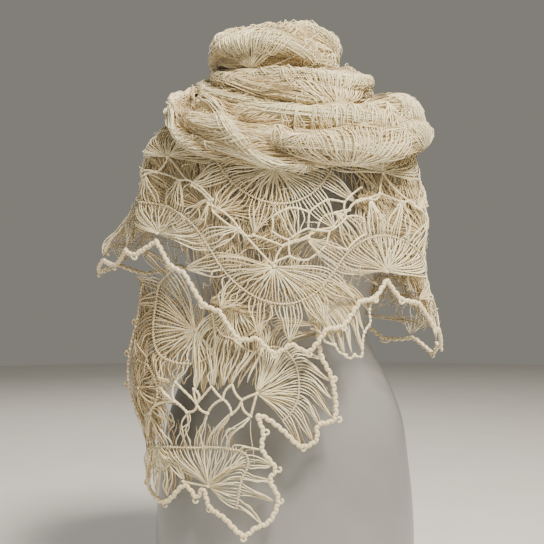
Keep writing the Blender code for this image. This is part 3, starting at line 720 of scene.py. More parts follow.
def hexNet(surface, first, last, cell, tall, rows, middleOf):
    # zigzag lines of chains one below the other, joined where their points face: hexagons
    half = cell / 2.0
    count = int((last - first) / half) + 1
    i = np.arange(count)
    along = first + half * i
    lines = []
    for row in range(rows + 1):
        zigzag = tall * 0.20 * np.where((i + row) % 2 == 0, 1.0, -1.0)
        lines.append(np.stack([along, middleOf(along) + (row - rows / 2.0) * tall + zigzag], axis=-1))
    lines = np.stack(lines) + noise.normal(0.0, 0.035 * cell, (rows + 1, count, 2))
    firsts = [lines[:, :-1].reshape(-1, 2)]
    lasts = [lines[:, 1:].reshape(-1, 2)]
    for row in range(rows):
        facing = (i + row) % 2 == 0
        firsts.append(lines[row][facing])
        lasts.append(lines[row + 1][facing])
    flat = chainFlat(np.concatenate(firsts), np.concatenate(lasts), 8, 0.035 * cell)
    thick = laceLook["chain"] * min(1.0, 0.45 + 14.0 * cell)
    chains = tubesOn(surface, flat, np.full(flat.shape[:2], 0.0020), lumpy(len(flat), 8, thick), 5,
                     np.full(len(flat), 0.84))
    return [chains, knotSet(surface, lines.reshape(-1, 2), 1.45 * thick)]


def straySet(surface, starts, tone):
    # loops pulled loose: they leave the cloth, bow out and come back
    count = len(starts)
    turn = noise.uniform(0.0, 2 * pi, (count, 1))
    reach = noise.uniform(0.008, 0.018, (count, 1))
    t = np.linspace(0.0, 1.0, 9)[None, :]
    flat = starts[:, None] + np.stack([np.cos(turn), np.sin(turn)], axis=-1) * (reach * t)[..., None]
    lift = 0.0005 + noise.uniform(0.002, 0.006, (count, 1)) * np.sin(pi * t)
    return tubesOn(surface, flat, lift, 0.00050, 3, np.full(count, tone))


def knotSet(surface, nodes, size):
    # a knot is a short fat bead of yarn lying on the cloth
    count = len(nodes)
    turn = noise.uniform(0.0, pi, count)
    reach = np.stack([np.cos(turn), np.sin(turn)], axis=-1)[:, None, :]
    step = np.linspace(-1.0, 1.0, 4)[None, :, None] * size
    flat = nodes[:, None, :] + reach * step
    radius = np.broadcast_to(np.array([0.7, 1.0, 1.0, 0.7]) * size, (count, 4))
    return tubesOn(surface, flat, np.full((count, 4), 0.0012), radius, 6, np.full(count, 0.90))


def middleAngle(points):
    centre = points.mean(axis=1)
    return np.degrees(np.arctan2(centre[:, 0], -centre[:, 1]))


def makeWrap():
    sets = wrapSets() + underSets() + [backingSet()]
    front = tubeParts(sets, lambda points: np.abs(middleAngle(points)) <= wrapLook["split"])
    back = tubeParts(sets, lambda points: np.abs(middleAngle(points)) > wrapLook["split"])
    for name, node, parts in (("laceFront", "wrap_front", front), ("laceBack", "wrap_back", back)):
        piece = buildPiece(name, parts, wool)
        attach(piece, "root")
        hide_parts(node)

# ---------------------------------------------------------------- turns rolled round the neck
# rows: angle, out, height, long half, short half, tilt of the long half below level
rollLook = {
    "laceLower": {
        "node": "cowl_lower", "start": -24.0, "stop": 146.0, "ridges": 3, "depth": 0.0048, "width": 0.090,
        "round": 0.137, "halfWaves": 6, "squeeze": 0.27, "strips": (0.010, 0.043, 0.076), "turn": 10.0,
        "rows": [
            (-180.0, 0.121, 0.6400, 0.0300, 0.0145, 42.0), (-135.0, 0.129, 0.6420, 0.0280, 0.0140, 36.0),
            (-90.0, 0.128, 0.6500, 0.0230, 0.0120, 26.0), (-45.0, 0.147, 0.6210, 0.0350, 0.0185, 50.0),
            (0.0, 0.134, 0.6050, 0.0400, 0.0220, 58.0), (45.0, 0.148, 0.6140, 0.0460, 0.0250, 50.0),
            (90.0, 0.149, 0.6320, 0.0450, 0.0270, 44.0), (135.0, 0.137, 0.6400, 0.0380, 0.0180, 42.0)],
        "lift": [0.0, 0.0, 0.0, 0.0, 1.0, 4.1, 7.5, 8.8, 8.9, 10.8, 13.0, 14.4, 13.6, 8.7, 3.0, 0.0, 0.0, 0.0,
                 0.0, 0.0, 0.0, 0.0, 0.0, 1.8, 6.0, 10.1, 9.4, 5.2, 1.0, 0.0, 0.0, 0.0, 0.0, 0.0, 0.0, 0.0],
        "tone": 0.02,
        # folds: width, height, then the line they follow as (angle, across); the rest are ribbons of yarn
        "folds": [(0.0090, 0.010, [(-78, 0.95), (-64, 0.80), (-55, 0.45), (-44, 0.16), (-13, 0.02)]),
                  (0.0085, 0.009, [(-44, 0.88), (-34, 0.80), (-22, 0.50), (-8, 0.16), (10, 0.05)]),
                  (0.0100, -0.010, [(-54, 0.80), (-48, 0.66)]),
                  (0.0050, -0.006, [(-58, 0.74), (-49, 0.50), (-37, 0.22), (-14, 0.07)]),
                  (0.0050, -0.005, [(-26, 0.86), (-12, 0.55), (4, 0.27), (25, 0.13)]),
                  (0.0045, -0.005, [(2, 0.64), (30, 0.50), (60, 0.38)]),
                  (0.0045, -0.004, [(50, 0.68), (80, 0.48), (100, 0.30)]),
                  (0.0060, 0.005, [(-20, 0.88), (10, 0.78), (45, 0.62), (70, 0.40)]),
                  (0.0050, 0.004, [(0, 0.45), (30, 0.35), (55, 0.20)]),
                  (0.0120, 0.006, [(52, 0.80), (75, 0.62), (95, 0.45)]),
                  (0.0080, 0.006, [(110, 0.75), (150, 0.50), (190, 0.70)]),
                  (0.0080, 0.006, [(190, 0.35), (230, 0.50), (262, 0.30)])],
        # nets of small hexagons: first and last angle, across, slope, cell, rows
        "nets": [(92.0, 150.0, 0.55, 0.0, 0.018, 3)],
        "fans": [(28.0, 0.02, -4.0, 58.0, 0.62), (-100.0, 0.10, -125.0, -80.0, 0.80), (75.0, 0.12, 52.0, 98.0, 0.72)],
    },
    "laceMiddle": {
        "node": "cowl_middle", "start": -26.0, "stop": 140.0, "ridges": 2, "depth": 0.0034, "width": 0.066,
        "round": 0.094, "halfWaves": 4, "squeeze": 0.24, "strips": (0.006, 0.034, 0.062), "turn": -20.0,
        "rows": [
            (-180.0, 0.087, 0.6790, 0.0250, 0.0140, 34.0), (-135.0, 0.089, 0.6800, 0.0250, 0.0135, 32.0),
            (-90.0, 0.092, 0.6810, 0.0240, 0.0120, 30.0), (-45.0, 0.100, 0.6660, 0.0270, 0.0165, 42.0),
            (0.0, 0.105, 0.6640, 0.0290, 0.0190, 46.0), (45.0, 0.103, 0.6680, 0.0300, 0.0180, 44.0),
            (90.0, 0.088, 0.6900, 0.0283, 0.0150, 38.0), (135.0, 0.087, 0.6840, 0.0265, 0.0145, 34.0)],
        "lift": [2.9, 2.7, 2.0, 1.0, 1.6, 4.2, 7.0, 8.6, 10.2, 11.6, 12.1, 10.4, 8.4, 6.9, 6.0, 3.7, 1.2, 0.4,
                 1.1, 2.0, 2.5, 3.9, 5.7, 6.7, 6.8, 6.3, 4.5, 1.9, 0.3, 0.0, 0.0, 0.0, 0.0, 0.7, 1.9, 2.8],
        "tone": -0.10,
        "folds": [(0.0040, -0.005, [(-75, 0.62), (-35, 0.47), (0, 0.24), (20, 0.08)]),
                  (0.0040, -0.005, [(-20, 0.76), (20, 0.56), (60, 0.36)]),
                  (0.0040, -0.004, [(60, 0.80), (110, 0.50), (150, 0.30)]),
                  (0.0045, 0.006, [(-80, 0.85), (-40, 0.70), (0, 0.40), (40, 0.10)]),
                  (0.0045, 0.005, [(-60, 0.40), (-20, 0.25), (20, 0.05)]),
                  (0.0045, 0.005, [(-30, 0.92), (20, 0.72), (70, 0.50)]),
                  (0.0060, 0.005, [(90, 0.70), (140, 0.40), (180, 0.60)])],
        "nets": [(28.0, 78.0, 0.80, 0.05, 0.013, 2), (-72.0, -34.0, 0.55, 0.0, 0.013, 2)],
        "fans": [(30.0, 0.06, 2.0, 60.0, 0.86), (160.0, 0.10, 130.0, 190.0, 0.85)],
    },
    "laceTop": {
        "node": "cowl_top", "start": 20.0, "stop": 290.0, "ridges": 2, "depth": 0.0020, "width": 0.110,
        "round": 0.075, "halfWaves": 4, "squeeze": 0.62, "strips": (0.020, 0.078), "turn": -28.0,
        "rows": [
            (-180.0, 0.072, 0.721, 0.024, 0.013, 86.0), (-135.0, 0.077, 0.720, 0.024, 0.016, 84.0),
            (-90.0, 0.079, 0.719, 0.024, 0.018, 80.0), (-45.0, 0.083, 0.714, 0.028, 0.022, 80.0),
            (0.0, 0.084, 0.715, 0.032, 0.022, 82.0), (45.0, 0.067, 0.721, 0.032, 0.012, 84.0),
            (90.0, 0.0590, 0.726, 0.025, 0.008, 84.0), (135.0, 0.063, 0.723, 0.025, 0.0095, 86.0)],
        "lift": [3.9, 3.4, 2.8, 3.0, 4.6, 6.9, 8.8, 10.5, 11.9, 12.6, 12.7, 12.3, 10.9, 8.9, 7.2, 6.0, 5.3, 5.1,
                 5.3, 4.5, 2.4, 0.5, 0.0, 0.0, 0.0, 2.7, 6.1, 8.2, 8.4, 8.4, 8.2, 7.4, 6.2, 5.1, 4.5, 4.3],
        "tone": 0.08,
        "folds": [(0.0050, -0.004, [(-60, 0.12), (-20, 0.20), (25, 0.08)]),
                  (0.0045, -0.004, [(-10, 0.56), (30, 0.44), (70, 0.30)]),
                  (0.0060, 0.005, [(-70, 0.20), (-20, 0.32), (20, 0.18)]),
                  (0.0070, 0.006, [(10, 0.60), (50, 0.42), (90, 0.30)]),
                  (0.0060, 0.004, [(100, 0.55), (160, 0.35), (220, 0.50)])],
        "nets": [(14.0, 68.0, 0.20, 0.0, 0.013, 3), (-50.0, 30.0, 0.58, 0.0, 0.014, 1)],
        "fans": [(-24.0, 0.05, -58.0, 6.0, 0.46), (100.0, 0.08, 70.0, 130.0, 0.46), (200.0, 0.08, 170.0, 232.0, 0.46)],
    },
    "sweeps": 220,
    "yarn": 0.00060,
    "shellDepth": 0.0042,
    "shellWall": 0.0010,
}


def rollSurface(roll):
    # band section: out + long cos(spin) and short sin(spin), tilted, plus ridges and sweeping folds
    def surface(along, down):
        angle = np.degrees(along / roll["round"]) + roll["turn"]
        across = np.clip(1.0 - down / roll["width"], 0.0, 1.0)
        out, height, longer, shorter, tilt = [readTable(roll["rows"], k, angle, 360.0) for k in range(1, 6)]
        tilt = np.radians(tilt)
        spin = np.radians(roll["start"] + (roll["stop"] - roll["start"]) * across)
        facing = smoothStep((np.cos(spin - tilt) + 0.3) / 0.8)
        ridge = roll["depth"] * np.cos(2 * roll["ridges"] * spin + 2 * np.radians(angle)) * facing
        reach = longer * np.cos(spin)
        rise = (shorter + ridge) * np.sin(spin)
        crease = rollCrease(roll, angle, across)
        radial = out + reach * np.cos(tilt) + rise * np.sin(tilt) + crease * np.cos(spin - tilt) * 0.8
        level = height - reach * np.sin(tilt) + rise * np.cos(tilt) + crease * np.sin(spin - tilt) * 0.8
        lift = np.interp(angle, np.arange(-180.0, 180.0, 10.0), np.array(roll["lift"]) / 1000.0, period=360.0)
        return onCircle(angle, radial, level + lift)
    return surface


def rollCrease(roll, angle, across):
    # each fold: height * exp(-(distance to its line / width)^2), distances laid flat in metres
    total = np.zeros(np.broadcast(angle, across).shape)
    for width, tall, line in roll["folds"]:
        flat = np.array(line, dtype=float)
        away = np.mod(angle - flat[0, 0] + 120.0, 360.0) - 120.0
        nearest = np.full(total.shape, 1.0)
        for first, last in zip(flat[:-1], flat[1:]):
            run = np.array([(last[0] - first[0]) * pi / 180.0 * roll["round"], (last[1] - first[1]) * roll["width"]])
            x = np.radians(away - (first[0] - flat[0, 0])) * roll["round"]
            y = (across - first[1]) * roll["width"]
            share = np.clip((x * run[0] + y * run[1]) / (run @ run), 0.0, 1.0)
            nearest = np.minimum(nearest, np.hypot(x - share * run[0], y - share * run[1]))
        total = total + tall * np.exp(-(nearest / width) ** 2)
    return total


def rollFlat(roll, places):
    # (angle, across) -> (along, down)
    places = np.array(places, dtype=float)
    return np.stack([np.radians(places[:, 0] - roll["turn"]) * roll["round"],
                     (1.0 - places[:, 1]) * roll["width"]], axis=-1)


def ribbonFlat(roll, line, spread, count, points):
    # yarns side by side along a fold's line, drifting a little across it
    flat = np.array(line, dtype=float)
    rows = [(i, *place) for i, place in enumerate(flat)]
    t = np.linspace(0.0, len(flat) - 1.0, points)[None, :]
    begin = noise.uniform(-0.05, 0.25, (count, 1)) * (len(flat) - 1.0)
    at = np.clip(begin + t * noise.uniform(0.7, 0.95, (count, 1)), 0.0, len(flat) - 1.0)
    angle = readTable(rows, 1, at)
    across = readTable(rows, 2, at) + noise.normal(0.0, spread / roll["width"], (count, 1)) * (
        1.0 + 0.4 * np.sin(2 * pi * t / len(flat) + noise.uniform(0, 6, (count, 1))))
    along = np.radians(angle - roll["turn"]) * roll["round"]
    return np.stack([along, (1.0 - np.clip(across, 0.01, 0.99)) * roll["width"]], axis=-1)


def rollFan(roll, fan):
    # a fan drawn on purpose: gather, then feet on a bowed line above it and loops beyond
    gatherAngle, gatherAcross, first, last, far = fan
    share = np.linspace(0.0, 1.0, 64)
    feet = np.stack([first + (last - first) * share,
                     far - 0.34 * far * (2 * share - 1) ** 2], axis=-1)
    feet = rollFlat(roll, feet)
    gather = rollFlat(roll, [(gatherAngle, gatherAcross)])[0]
    tangent = unit(np.gradient(feet, axis=0))
    outward = np.stack([tangent[:, 1], -tangent[:, 0]], axis=-1)
    outward = outward * np.sign(np.sum(outward * (feet - gather), axis=1, keepdims=True))
    tips = feet[4::8] + outward[4::8] * 0.022
    tips[:, 1] = np.clip(tips[:, 1], 0.002, roll["width"])
    return fanStrands(gather, feet, outward, tips)


def shellPart(surface, alongs, downs, depth, wall, tone):
    # closed thin sheet: two layers of the grid a wall apart, their rims joined
    grid = np.stack(np.meshgrid(alongs, downs, indexing="ij"), axis=-1)
    outer, normals = layOn(surface, grid, np.full(grid.shape[:2], -depth))
    inner = outer - normals * wall
    columns, rows = grid.shape[:2]
    count = columns * rows
    top = np.arange(count).reshape(columns, rows)
    after = np.roll(top, -1, axis=0)
    faces = np.stack([top[:, :-1], top[:, 1:], after[:, 1:], after[:, :-1]], axis=-1).reshape(-1, 4)
    lowRim = np.stack([top[:, 0], after[:, 0], after[:, 0] + count, top[:, 0] + count], axis=-1)
    highRim = np.stack([after[:, -1], top[:, -1], top[:, -1] + count, after[:, -1] + count], axis=-1)
    verts = np.concatenate([outer.reshape(-1, 3), inner.reshape(-1, 3)])
    return verts, [faces, faces[:, ::-1] + count, lowRim, highRim], np.full(2 * count, tone)


def rollShade(roll, flat):
    # painted shade: darker in the ridges' hollows, in the folds' valleys and on one flank of each fold, and where one
    # roll tucks against the next; painted light: lighter on the folds' crests and towards +X; plus the roll's own tone
    angle = np.degrees(flat[..., 0] / roll["round"]) + roll["turn"]
    across = np.clip(1.0 - flat[..., 1] / roll["width"], 0.0, 1.0)
    spin = np.radians(roll["start"] + (roll["stop"] - roll["start"]) * across)
    hollow = 0.5 - 0.5 * np.cos(2 * roll["ridges"] * spin + 2 * np.radians(angle))
    tucked = np.exp(-(across / 0.13) ** 2) + 0.9 * np.exp(-((1.0 - across) / 0.14) ** 2)
    lit = 0.06 * np.sin(np.radians(angle))
    crest = np.clip(rollCrease(roll, angle, across) / 0.006, -1.2, 1.2)
    valley = np.clip(-crest, 0.0, 1.2)
    flank = np.clip(rollCrease(roll, angle, across - 0.07) / 0.006, 0.0, 1.2) - np.clip(crest, 0.0, 1.2)
    return roll["tone"] + lit - 0.52 * hollow ** 3 - 0.45 * tucked + 0.12 * crest - 0.45 * valley - 0.55 * np.clip(flank, 0.0, 1.0)


def sweepFlat(roll, count, points):
    # long loose yarns that run round the roll and drift across it
    circle = 2 * pi * roll["round"]
    begin = noise.uniform(0.0, circle, (count, 1))
    reach = noise.uniform(0.10, 0.30, (count, 1)) * circle
    t = np.linspace(0.0, 1.0, points)[None, :]
    middle = noise.uniform(0.10, 0.95, (count, 1)) * roll["width"]
    drift = noise.normal(0.0, 0.16, (count, 1)) * roll["width"]
    wander = 0.0025 * np.sin(2 * pi * (t * noise.uniform(0.6, 1.6, (count, 1)) + noise.uniform(0, 1, (count, 1))))
    down = np.clip(middle + drift * (t - 0.5) + wander, 0.003, roll["width"] - 0.003)
    return np.stack([begin + reach * t, down], axis=-1)


def makeRolls():
    for name in ("laceLower", "laceMiddle", "laceTop"):
        roll = rollLook[name]
        surface = rollSurface(roll)
        circle = 2 * pi * roll["round"]
        stretch = circle / (roll["halfWaves"] * laceLook["halfWave"])
        sets = []
        for middle in roll["strips"]:
            flat, lift, tone = stripStrands(0.0, range(roll["halfWaves"]), lambda fan: fanTips(0.0, fan))
            flat = flat * np.array([stretch, roll["squeeze"]]) + np.array([0.0, middle])
            inside = (flat[:, :, 1].min(axis=1) > 0.001) & (flat[:, :, 1].max(axis=1) < roll["width"] - 0.001)
            # painted shade and light from rollShade go into the tone of every yarn on the rolls
            tone = np.clip(0.88 + 0.45 * (tone[:, None] - 0.84) + rollShade(roll, flat), 0.12, 1.0)
            flat, lift, tone = flat[inside][:, ::2], lift[inside][:, ::2], tone[inside][:, ::2]
            sets.append(tubesOn(surface, flat, lift * 1.3, rollLook["yarn"], 3, tone))
            s = np.linspace(0.0, roll["halfWaves"], 400)
            path = evenPath(spineAt(0.0, s) * np.array([stretch, roll["squeeze"]]) + np.array([0.0, middle]), 0.0022)
            path = path[(path[:, 1] > 0.001) & (path[:, 1] < roll["width"] - 0.001)]
            points, normals = layOn(surface, path, np.full(len(path), 0.0014))
            sets.append(plySet(points, normals, 0.00055, 0.0008, 0.0060, 2, 0.85))
        for first, last, across, slope, cell, rows in roll["nets"]:
            begin, end = np.radians(np.array([first, last]) - roll["turn"]) * roll["round"]
            lineOf = lambda along: (1.0 - across) * roll["width"] + slope * (along - begin)
            sets.extend(hexNet(surface, begin, end, cell, cell * 0.62, rows, lineOf))
        for fan in roll["fans"]:
            flat, lift, tone = rollFan(roll, fan)
            flat[..., 1] = np.clip(flat[..., 1], 0.001, roll["width"] - 0.001)
            tone = np.clip(tone[:, None] + 0.10 + 0.5 * rollShade(roll, flat), 0.12, 1.0)
            sets.append(tubesOn(surface, flat, lift + 0.0022, rollLook["yarn"] * 1.15, 3, tone))
        for width, tall, line in roll["folds"]:
            if tall > 0.0:
                flat = ribbonFlat(roll, line, width * 0.75, 40, 14)
                heave = np.abs(noise.normal(0.0012, 0.0010, (len(flat), 1))) + np.zeros(flat.shape[:2])
                tone = np.clip(noise.normal(0.92, 0.10, (len(flat), 1)) + 0.7 * rollShade(roll, flat), 0.2, 1.0)
                sets.append(tubesOn(surface, flat, heave, rollLook["yarn"], 3, tone))
        flat = sweepFlat(roll, rollLook["sweeps"], 14)
        tone = np.clip(noise.normal(0.92, 0.06, (len(flat), 1)) + rollShade(roll, flat), 0.12, 1.0)
        heave = np.abs(noise.normal(0.0014, 0.0008, (len(flat), 1)))
        sets.append(tubesOn(surface, flat, heave + np.zeros(flat.shape[:2]), rollLook["yarn"], 3, tone))
        starts = np.stack([noise.uniform(0.0, circle, 450), noise.uniform(0.05, 0.95, 450) * roll["width"]], axis=-1)
        sets.append(fuzzSet(surface, starts, 0.95))
        sets.append(straySet(surface, starts[::4] * np.array([1.0, 0.9]), 0.95))
        parts = tubeParts(sets, lambda points: np.ones(len(points), dtype=bool))
        alongs = np.linspace(0.0, circle, 180, endpoint=False)
        downs = np.linspace(0.0, roll["width"], 30)
        # a closed sheet under the yarns stands for the roll's inner turns of lace; its low tone 0.40 is painted shade
        parts.append(shellPart(surface, alongs, downs, rollLook["shellDepth"], rollLook["shellWall"], 0.40))
        piece = buildPiece(name, parts, wool)
        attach(piece, "root")
        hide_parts(roll["node"])

# ---------------------------------------------------------------- the end that hangs in front
# places on it are (angle, height); a fan is its gather, its spine and the tips of its groups
endLook = {
    "levels": [
        (0.480, -62.0, 12.0, 0.1975, 0.1330), (0.440, -64.0, 15.0, 0.2010, 0.1345),
        (0.400, -66.0, 18.0, 0.2060, 0.1355), (0.345, -70.0, 21.0, 0.2170, 0.1370),
        (0.295, -72.0, 25.0, 0.2200, 0.1385), (0.262, -70.0, 22.0, 0.2120, 0.1390),
        (0.232, -67.0, 6.0, 0.2020, 0.1390), (0.200, -64.0, -4.0, 0.1940, 0.1385),
        (0.172, -62.0, -3.0, 0.1900, 0.1380), (0.148, -46.0, -5.0, 0.1880, 0.1375),
        (0.126, -27.0, -13.0, 0.1860, 0.1375)],
    "power": 2.05,
    "gap": 0.0044,
    "nest": 0.080,
    "folds": [(-56.0, -2.0, 7.0, 0.004), (-40.0, -2.0, 7.0, -0.004), (-22.0, 0.0, 8.0, 0.004),
              (-4.0, 3.0, 7.0, -0.003)],
    "round": 0.150,
    "backing": 640,
    "chain": 0.0016,
    "fans": [
        {"gather": (-38.2, 0.1787), "count": 46, "pinch": 0.75,
         "spine": [(-59.2, 0.2234), (-52.2, 0.2242), (-43.5, 0.2251), (-31.5, 0.2276), (-20.0, 0.2238),
                   (-17.8, 0.2081), (-20.8, 0.1899), (-23.2, 0.1557)],
         "tips": [(-62.0, 0.2640), (-46.5, 0.2687), (-37.2, 0.2687), (-25.2, 0.2692), (-16.5, 0.2672),
                  (-11.5, 0.2280), (-6.5, 0.2060), (-6.0, 0.1880), (-5.5, 0.1660), (-12.0, 0.1345)]},
        {"gather": (-13.8, 0.2942), "count": 40,
         "spine": [(-14.8, 0.3440), (-7.8, 0.3499), (0.0, 0.3463), (5.5, 0.3283), (7.0, 0.3043), (6.0, 0.2839),
                   (2.5, 0.2693), (-1.0, 0.2608)],
         "tips": [(-10.0, 0.3900), (0.0, 0.3860), (15.0, 0.3700), (18.5, 0.3360), (22.4, 0.3120), (23.4, 0.2880),
                  (22.0, 0.2670), (15.6, 0.2550), (13.5, 0.2400), (7.0, 0.2340)]},
        {"gather": (-43.5, 0.3695), "count": 44,
         "spine": [(-52.0, 0.4450), (-59.0, 0.4250), (-61.0, 0.3950), (-60.5, 0.3650), (-57.0, 0.3400),
                   (-50.0, 0.3290), (-42.0, 0.3300), (-34.0, 0.3420)],
         "tips": [(-66.0, 0.4700), (-71.0, 0.4330), (-72.5, 0.4000), (-73.0, 0.3650), (-71.0, 0.3350),
                  (-64.0, 0.3050), (-56.5, 0.3020), (-50.2, 0.3053), (-43.5, 0.2973), (-35.2, 0.3019)]},
        {"gather": (-24.0, 0.4050), "count": 34,
         "spine": [(-36.0, 0.3900), (-32.0, 0.3680), (-25.0, 0.3600), (-17.0, 0.3660), (-12.0, 0.3850)],
         "tips": [(-43.5, 0.2973), (-35.2, 0.3019), (-29.5, 0.3030), (-24.8, 0.3054), (-18.0, 0.3100)]},
        {"gather": (-67.0, 0.2950), "count": 26,
         "spine": [(-68.0, 0.3300), (-62.0, 0.3240), (-58.0, 0.3080), (-57.0, 0.2900), (-60.0, 0.2700),
                   (-66.0, 0.2600)],
         "tips": [(-71.0, 0.3550), (-58.0, 0.3400), (-52.0, 0.3050), (-51.0, 0.2818), (-55.0, 0.2600),
                  (-66.0, 0.2300)]},
        {"gather": (-60.5, 0.2240), "count": 26,
         "spine": [(-53.5, 0.2130), (-55.5, 0.2000), (-60.0, 0.1940), (-66.0, 0.1990), (-68.5, 0.2150)],
         "tips": [(-49.8, 0.1822), (-57.0, 0.1600), (-65.0, 0.1560), (-71.5, 0.1640), (-73.5, 0.1820)]},
    ],
    "chains": [
        [(-56.5, 0.3020), (-50.8, 0.2818), (-50.2, 0.3053)], [(-50.2, 0.3053), (-42.5, 0.2802), (-43.5, 0.2973)],
        [(-43.5, 0.2973), (-42.5, 0.2802)], [(-35.2, 0.3019), (-42.5, 0.2802)],
        [(-35.2, 0.3019), (-29.5, 0.2868)], [(-24.8, 0.3054), (-29.5, 0.2868)],
        [(-24.8, 0.3054), (-20.5, 0.2864), (-13.8, 0.2942)], [(-50.8, 0.2818), (-62.0, 0.2640)],
        [(-50.8, 0.2818), (-46.5, 0.2687)], [(-42.5, 0.2802), (-46.5, 0.2687)],
        [(-42.5, 0.2802), (-37.2, 0.2687)], [(-29.5, 0.2868), (-37.2, 0.2687)],
        [(-29.5, 0.2868), (-25.2, 0.2692)], [(-20.5, 0.2864), (-25.2, 0.2692)],
        [(-20.5, 0.2864), (-16.5, 0.2672)], [(-13.8, 0.2942), (-16.5, 0.2672)],
        [(-60.5, 0.2240), (-62.0, 0.2640)], [(-38.2, 0.1787), (-49.8, 0.1822)],
        [(-25.0, 0.3600), (-14.8, 0.3440)], [(-36.0, 0.3900), (-34.0, 0.3420)],
        [(-10.0, 0.3900), (-17.0, 0.3660)]],
}


def endSurface(along, down):
    # its own oval below, eased into the wrap's inner side where it comes out from under it
    angle = np.degrees(along / endLook["round"])
    top = endLook["levels"][0][0]
    height = top - down
    turn = np.radians(angle)
    own = ovalOut(turn, readTable(endLook["levels"], 3, height), readTable(endLook["levels"], 4, height),
                  endLook["power"])
    own = own + foldDepth(endLook["folds"], angle, down / 0.30)
    nest = wrapOut(angle, height) - endLook["gap"]
    return onCircle(angle, nest + (own - nest) * smoothStep(down / endLook["nest"]), height)


def endFlat(places):
    # (angle, height) -> (along, down)
    places = np.array(places, dtype=float)
    return np.stack([np.radians(places[:, 0]) * endLook["round"], endLook["levels"][0][0] - places[:, 1]], axis=-1)


def smoothPath(points, count):
    # even cubic through a few places
    rows = [(i, *point) for i, point in enumerate(points)]
    at = np.linspace(0.0, len(points) - 1.0, 40 * len(points))
    path = np.stack([readTable(rows, k, at) for k in range(1, points.shape[1] + 1)], axis=-1)
    length = np.concatenate([[0.0], np.cumsum(np.linalg.norm(np.diff(path, axis=0), axis=1))])
    spots = np.linspace(0.0, length[-1], count)
    return np.stack([np.interp(spots, length, path[:, k]) for k in range(path.shape[1])], axis=-1)


def endBacking():
    # loose yarns behind the end, thickest at its left, hanging nearly straight down, darkened to brown as painted
    # shade
    count, points = endLook["backing"], 7
    t = np.linspace(0.0, 1.0, points)[None, :]
    angle = -72.0 + 58.0 * noise.uniform(0.0, 1.0, (count, 1)) ** 1.6
    height = noise.uniform(0.250, 0.440, (count, 1))
    reach = noise.uniform(0.03, 0.08, (count, 1))
    wander = 1.2 * np.sin(2 * pi * (t * noise.uniform(0.5, 1.6, (count, 1)) + noise.uniform(0, 1, (count, 1))))
    places = np.stack([angle + wander + noise.normal(0.0, 2.0, (count, 1)) * t, height - reach * t], axis=-1)
    net = (places[:, -1, 1] < 0.312) & (places[:, 0, 1] > 0.262) & (angle[:, 0] > -55.0)
    flat = endFlat(places[~net].reshape(-1, 2)).reshape(-1, points, 2)
    # the low tones are painted shade of the layers behind; a few are left paler
    tone = noise.uniform(0.12, 0.46, len(flat)) + 0.35 * (noise.uniform(0, 1, len(flat)) > 0.82)
    lift = noise.uniform(-0.0065, -0.0030, (len(flat), 1)) + np.zeros(flat.shape[:2])
    return tubesOn(endSurface, flat, lift, 0.00066, 3, tone)


def makeEnd():
    sets = [endBacking()]
    for fan in endLook["fans"]:
        gather = endFlat([fan["gather"]])[0]
        spine = smoothPath(endFlat(fan["spine"]), fan["count"])
        tangent = unit(np.gradient(spine, axis=0))
        outward = np.stack([-tangent[:, 1], tangent[:, 0]], axis=-1)
        outward = outward * np.sign(np.sum(outward * (spine - gather), axis=1, keepdims=True))
        flat, lift, tone = fanStrands(gather, spine, outward, endFlat(fan["tips"]), fan.get("pinch", 0.2))
        if "pinch" not in fan:
            # a lower layer copied from the fan, darkened to 0.45 of its tone as painted shade
            under = flat[::2] + np.array([[0.006, 0.004]])
            sets.append(tubesOn(endSurface, under, lift[::2] - 0.0065, laceLook["yarn"], 3, tone[::2] * 0.45))
        middle = flat.mean(axis=1)
        # painted shade: darker towards the end's left side, at full strength in its upper part
        shade = -0.46 * smoothStep((-44.0 - np.degrees(middle[:, 0] / endLook["round"])) / 18.0)
        shade = shade * (0.35 + 0.65 * (middle[:, 1] < 0.225))
        sets.append(tubesOn(endSurface, flat, lift, laceLook["yarn"], 3, np.clip(tone + shade, 0.2, 1.0)))
        path = evenPath(smoothPath(endFlat(fan["spine"]), 200), 0.0012)
        points, normals = layOn(endSurface, path, np.full(len(path), 0.0012))
        sets.append(plySet(points, normals, 0.00060, 0.0008, 0.0060, 2, 0.66))
        sets.append(ladderSet(endSurface, path, 0.0034, 0.0026, 0.74))
    links = [(chain[k], chain[k + 1]) for chain in endLook["chains"] for k in range(len(chain) - 1)]
    flat = chainFlat(endFlat([link[0] for link in links]), endFlat([link[1] for link in links]), 10, 0.0020)
    sets.append(tubesOn(endSurface, flat, np.full(flat.shape[:2], 0.0010), lumpy(len(flat), 10, endLook["chain"]),
                        5, np.full(len(flat), 0.66)))
    nodes = np.concatenate([endFlat([link[1] for link in links]), endFlat([fan["gather"] for fan in endLook["fans"]])])
    sets.append(knotSet(endSurface, nodes, 0.0020))
    piece = buildPiece("laceEnd", tubeParts(sets, lambda points: np.ones(len(points), dtype=bool)), wool)
    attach(piece, "root")
    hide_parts("end_fall")


